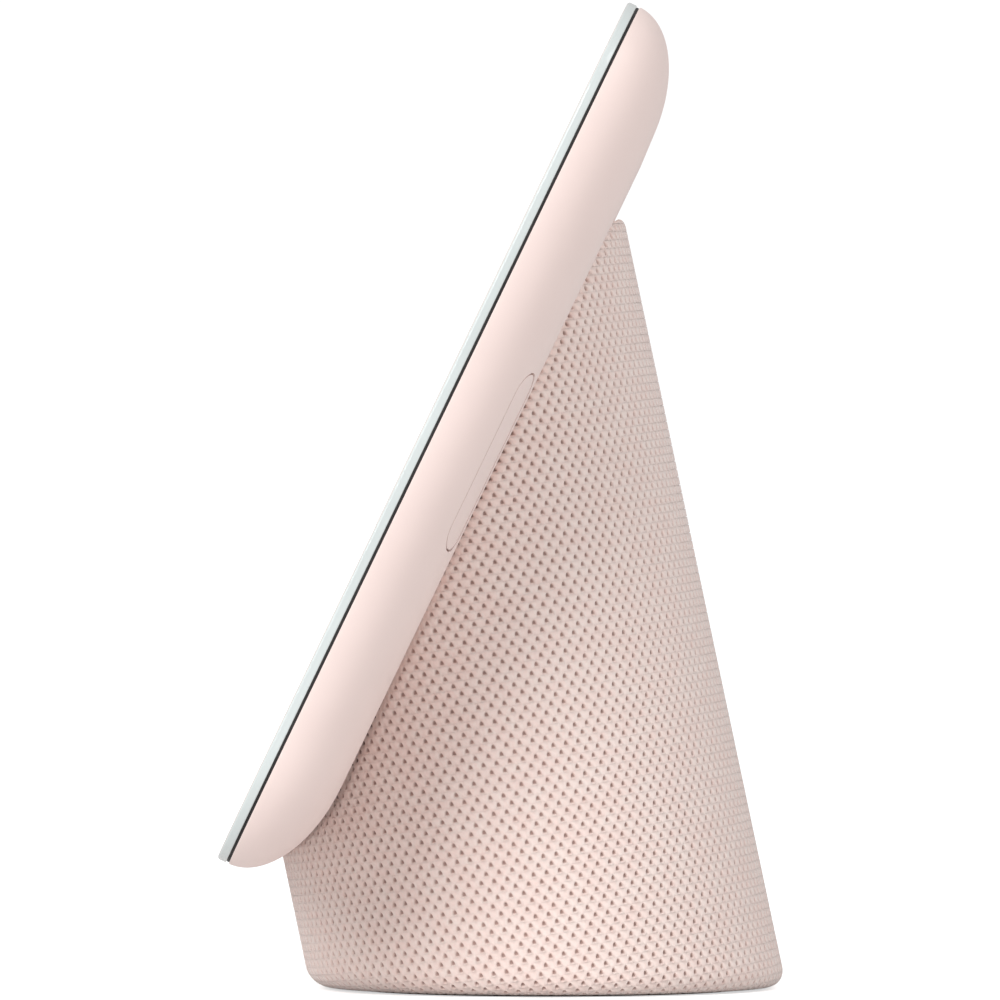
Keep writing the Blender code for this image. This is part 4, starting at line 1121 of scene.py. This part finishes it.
@dataclass
class StandCover:
    """Knitted sleeve over the stand: a lining that hugs the core, and the rows of stitches on it."""

    slab: Slab
    form: StandForm
    stitch: Stitch = field(default_factory=Stitch)
    wales: int = 168
    most_triangles: int = 190000
    tuck: float = 0.95 * MM
    crease: float = 1.1 * MM
    inlet_clear: float = 6.5 * MM
    inlet_height: float = 11.5 * MM
    weld: float = 0.02 * MM
    seed: int = 7
    lining_columns: int = 240
    lining_inset: float = 0.66 * MM
    lining_give: float = 0.33 * MM
    stitch_give: float = 0.6 * MM
    lining_thickness: float = 0.3 * MM

    def lattice(self) -> tuple[np.ndarray, np.ndarray]:
        """Where the stitches lie: the share of the way round and the course's level of each."""
        pitch = self.stitch.course * MM
        low, high = self.form.heights()
        reach = self.form.half_depth * math.tan(self.form.tilt) + 12 * MM
        rows = range(math.floor((low - reach) / pitch), math.ceil((high + reach) / pitch) + 1)
        whole = np.arange(2 * self.wales) / (2 * self.wales)
        shares = [whole[row % 2::2] for row in rows]
        courses = [np.full_like(share, row * pitch) for row, share in zip(rows, shares)]
        return np.concatenate(shares), np.concatenate(courses)

    def shown(self, share: np.ndarray, run: np.ndarray, inset: float, tuck: float) -> np.ndarray:
        """Which points of the cover are there: outside the housing, the foot's opening and the inlet.

        Args:
            share: Share of the way round.
            run: Height along the side.
            inset: Distance inside the outer face.
            tuck: How far the cover runs on behind its neighbours.

        Returns:
            True for each point to keep.
        """
        into, level = self.form.rolled(run, inset)
        points = self.form.at(share, run, inset)
        low, high = self.form.heights()
        under = (run < low) & (into > self.form.foot_inset)
        over = (run > high) & (into > self.form.half_depth * 0.9)
        off_inlet = np.hypot(points[:, 0], points[:, 2] - self.inlet_height) > self.inlet_clear
        return (self.slab.behind(points) > -tuck) & ~under & ~over & (off_inlet | (points[:, 1] < 0))

    def settled(self, share: np.ndarray, run: np.ndarray, inset: np.ndarray | float,
                give: float) -> np.ndarray:
        """World points of the cover, rolled in towards the core where it meets the housing.

        Args:
            share: Share of the way round.
            run: Height along the side.
            inset: Distance inside the outer face.
            give: The farthest the roll takes a point in.

        Returns:
            Points, one a row.
        """
        away = np.clip(self.slab.behind(self.form.at(share, run, inset)), 0, self.crease)
        sunk = self.crease - np.sqrt(self.crease**2 - (self.crease - away) ** 2)
        return self.form.at(share, run, inset + np.minimum(sunk, give))

    def wrapped(self, knit: bpy.types.Object) -> None:
        """Lay the flat knit round the stand, and close it where its two sides meet.

        Args:
            knit: The knit, with its way round along X, its courses along Y and its relief along Z.
        """
        flat = numbers(knit.data.vertices, "co", 3)
        share = flat[:, 0] / self.form.perimeter
        run = self.form.run_of(flat[:, 1], share)
        placed = self.settled(share, run, self.stitch.crest * MM - flat[:, 2], self.stitch_give)
        knit.data.vertices.foreach_set("co", placed.astype(np.float32).ravel())
        knit.data.update()
        seam = knit.modifiers.new("seam", "WELD")
        seam.merge_threshold = self.weld
        baked(knit)

    def build_rows(self) -> list[bpy.types.Object]:
        """The stitches, as pieces that meet without a seam."""
        share, course = self.lattice()
        keep = self.shown(share, self.form.run_of(course, share), self.stitch.crest * MM, self.tuck)
        flat = np.stack([share * self.form.perimeter, course, np.zeros_like(share)], axis=1)[keep]
        cell = self.stitch.mesh(self.form.perimeter / self.wales / MM)
        knit = StitchTree().run("knit", piece_from("knit_points", flat, []), {
            "Stitch": cell, "Weld distance": self.weld, "Seed": self.seed, "Finish": YarnFinish().material(),
        })
        bpy.data.objects.remove(cell, do_unlink=True)
        self.wrapped(knit)
        LOG.info("%d stitches", len(flat))
        return parted(knit, self.most_triangles, ("hollow", "tint"))

    def build_lining(self) -> tuple[bpy.types.Object, float]:
        """The closed sleeve behind the stitches.

        Returns:
            The piece, and the area of its outer face.
        """
        shares = np.arange(self.lining_columns) / self.lining_columns
        low, high = self.form.heights()
        foot = low - math.pi / 2 * self.form.foot_round - 2.4 * MM
        top = high + math.pi / 2 * self.form.top_round + 6 * MM
        runs = np.concatenate([
            np.linspace(foot, low, 14, endpoint=False),
            np.linspace(low, high, 90, endpoint=False),
            np.linspace(high, top, 14),
        ])
        share, run = (grid.ravel() for grid in np.meshgrid(shares, runs))
        points = self.settled(share, run, self.lining_inset, self.lining_give)
        keep = self.shown(share, run, self.lining_inset, self.tuck)
        count, faces = self.lining_columns, []
        for row in range(len(runs) - 1):
            here, above = row * count, (row + 1) * count
            for step in range(count):
                after = (step + 1) % count
                face = (here + step, here + after, above + after, above + step)
                if all(keep[corner] for corner in face):
                    faces.append(face)
        lining = piece_from("cover_lining", points, faces)
        bm = bmesh.new()
        bm.from_mesh(lining.data)
        bmesh.ops.delete(bm, geom=[vert for vert in bm.verts if not vert.link_faces], context="VERTS")
        area = sum(face.calc_area() for face in bm.faces)
        bm.to_mesh(lining.data)
        bm.free()
        wall = lining.modifiers.new("wall", "SOLIDIFY")
        wall.thickness = self.lining_thickness
        wall.offset = -1.0
        baked(lining)
        smoothed(lining)
        # The lining's darkened pink is painted shade for the gaps between the cover and the housing.
        dressed(lining, LINING_SHADE.material())
        return lining, area

    def build(self) -> None:
        lining, area = self.build_lining()
        rows = self.build_rows()
        handed_over(lining, Body.HOUSING, ["fabric_sleeve"])
        for part in rows:
            handed_over(part, Body.HOUSING)
        low, high = self.form.heights()


@dataclass
class Inlet:
    """Round bezel whose lip holds the cover down round the power inlet, square to the leaning skin."""

    form: StandForm
    height: float = 11.5 * MM
    lip_radius: float = 7.2 * MM
    wall_radius: float = 6.2 * MM
    mouth_radius: float = 4.7 * MM
    proud: float = 0.16 * MM
    deep: float = 4.6 * MM

    def place(self) -> Matrix:
        """A frame on the skin at the inlet, with Z straight out of it."""
        skin = self.form.half_depth - math.tan(self.form.lean) * self.height
        leaned = Matrix.Rotation(self.form.lean - math.pi / 2, 4, "X")
        return Matrix.Translation((0, skin, self.height)) @ leaned

    def build(self) -> None:
        """Make and hand over the bezel."""
        top, mouth, lip = self.proud, self.mouth_radius, self.lip_radius
        profile = [
            (mouth, -self.deep), (mouth, -1.0 * MM), (mouth + 0.3 * MM, top - 0.45 * MM),
            (mouth + 0.7 * MM, top - 0.1 * MM), (mouth + 1.0 * MM, top), (lip - 0.7 * MM, top - 0.02 * MM),
            (lip - 0.2 * MM, top - 0.16 * MM), (lip, top - 0.5 * MM), (lip - 0.1 * MM, -0.9 * MM),
            (self.wall_radius, -1.0 * MM), (self.wall_radius, -self.deep),
        ]
        bezel = revolved("inlet_bezel", self.place(), profile)
        smoothed(bezel, 40.0)
        dressed(bezel, INLET.material())
        handed_over(bezel, Body.HOUSING, ["jack_bezel"])


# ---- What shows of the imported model, and the studio ----


def dress_nodes() -> None:
    """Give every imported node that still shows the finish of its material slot."""
    for name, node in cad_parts.items():
        if node.hide_render:
            continue
        for slot in node.material_slots:
            wanted = slot.material.name.split(".")[0] if slot.material else ""
            finish = INNER_FINISHES.get(wanted, MOULDING)
            if wanted not in INNER_FINISHES:
                LOG.warning("%s: no finish for slot %r", name, wanted)
            slot.material = finish.material()


@dataclass
class Studio:
    """White room: level long-lens camera, soft lights and a pale floor."""

    camera_at: tuple[float, float, float] = (1.7, -0.00603, 0.0605)
    lens: float = 487.1
    sensor: float = 36.0
    floor_size: float = 60.0
    world_strength: float = 0.62
    seen_strength: float = 1.05
    bounce: float = 0.84
    floor_shade: float = 0.86
    floor_glow: float = 0.62
    aim: tuple[float, float, float] = (0, 0, 0.06)
    lamp_size: float = 1.0
    key_at: tuple[float, float, float] = (1.7, -0.9, 1.0)
    key_power: float = 21.0
    fill_at: tuple[float, float, float] = (0.9, 1.3, 1.5)
    fill_power: float = 5.0

    def camera(self) -> None:
        """A camera that looks straight along -X."""
        data = bpy.data.cameras.new("camera")
        data.lens, data.sensor_width = self.lens, self.sensor
        data.clip_end = 100.0
        made = bpy.data.objects.new("camera", data)
        made.location = self.camera_at
        made.rotation_euler = (math.pi / 2, 0, math.pi / 2)
        bpy.context.scene.collection.objects.link(made)
        bpy.context.scene.camera = made

    def lamp(self, name: str, at: tuple[float, float, float], size: float, power: float) -> None:
        """A soft square light aimed at the object's middle.

        Args:
            name: The light's name.
            at: Where it stands.
            size: Its side.
            power: Its power in watts.
        """
        data = bpy.data.lights.new(name, "AREA")
        data.shape, data.size, data.energy = "SQUARE", size, power
        made = bpy.data.objects.new(name, data)
        made.location = at
        made.rotation_euler = (Vector(self.aim) - Vector(at)).to_track_quat("-Z", "Y").to_euler()
        bpy.context.scene.collection.objects.link(made)

    def world(self) -> None:
        """White surroundings, seen as pure white."""
        world = bpy.data.worlds.new("studio")
        world.use_nodes = True
        tree = world.node_tree
        light = tree.nodes["Background"]
        light.inputs["Color"].default_value = (1, 1, 1, 1)
        light.inputs["Strength"].default_value = self.world_strength
        seen = tree.nodes.new("ShaderNodeBackground")
        seen.inputs["Color"].default_value = (1, 1, 1, 1)
        seen.inputs["Strength"].default_value = self.seen_strength
        path, mix = tree.nodes.new("ShaderNodeLightPath"), tree.nodes.new("ShaderNodeMixShader")
        tree.links.new(path.outputs["Is Camera Ray"], mix.inputs[0])
        tree.links.new(light.outputs[0], mix.inputs[1])
        tree.links.new(seen.outputs[0], mix.inputs[2])
        tree.links.new(mix.outputs[0], tree.nodes["World Output"].inputs["Surface"])
        bpy.context.scene.world = world

    def floor(self) -> None:
        """A pale matt floor that fades into the surroundings."""
        half = self.floor_size / 2
        corners = [(-half, -half, 0), (half, -half, 0), (half, half, 0), (-half, half, 0)]
        floor = piece_from("floor", corners, [(0, 1, 2, 3)])
        recipe = Recipe("finish_floor")
        recipe.fixed(Base_Color=(self.floor_shade, self.floor_shade, self.floor_shade, 1), Roughness=0.9,
                     Specular_IOR_Level=0.1, Emission_Color=(1, 1, 1, 1), Emission_Strength=self.floor_glow)
        dim = recipe.node("ShaderNodeBsdfDiffuse")
        dim.inputs["Color"].default_value = (self.bounce, self.bounce, self.bounce, 1)
        mix, path = recipe.node("ShaderNodeMixShader"), recipe.node("ShaderNodeLightPath")
        recipe.link(path.outputs["Is Camera Ray"], mix.inputs[0])
        recipe.link(dim.outputs[0], mix.inputs[1])
        recipe.link(recipe.shader.outputs[0], mix.inputs[2])
        recipe.link(mix.outputs[0], recipe.tree.nodes["Material Output"].inputs["Surface"])
        dressed(floor, recipe.material)

    def build(self) -> None:
        """Set everything up."""
        self.camera()
        self.world()
        self.floor()
        self.lamp("key", self.key_at, self.lamp_size, self.key_power)
        self.lamp("fill", self.fill_at, self.lamp_size, self.fill_power)
        bpy.context.scene.view_settings.view_transform = "Standard"
        bpy.context.scene.view_settings.look = "None"


def main() -> None:
    """Build the studio, then each sub-assembly."""
    logging.basicConfig(level=logging.INFO, format="%(message)s")
    Studio().build()
    slab = Slab()
    rocker, slider, housing = VolumeRocker(slab), MuteSlider(slab), Housing(slab)
    Front(slab).build()
    housing.build([rocker.slot(), slider.slot(), housing.lead_window()])
    rocker.build()
    slider.build()
    form = StandForm()
    StandCover(slab, form).build()
    Inlet(form).build()
    dress_nodes()


if __name__ == "__main__":
    main()
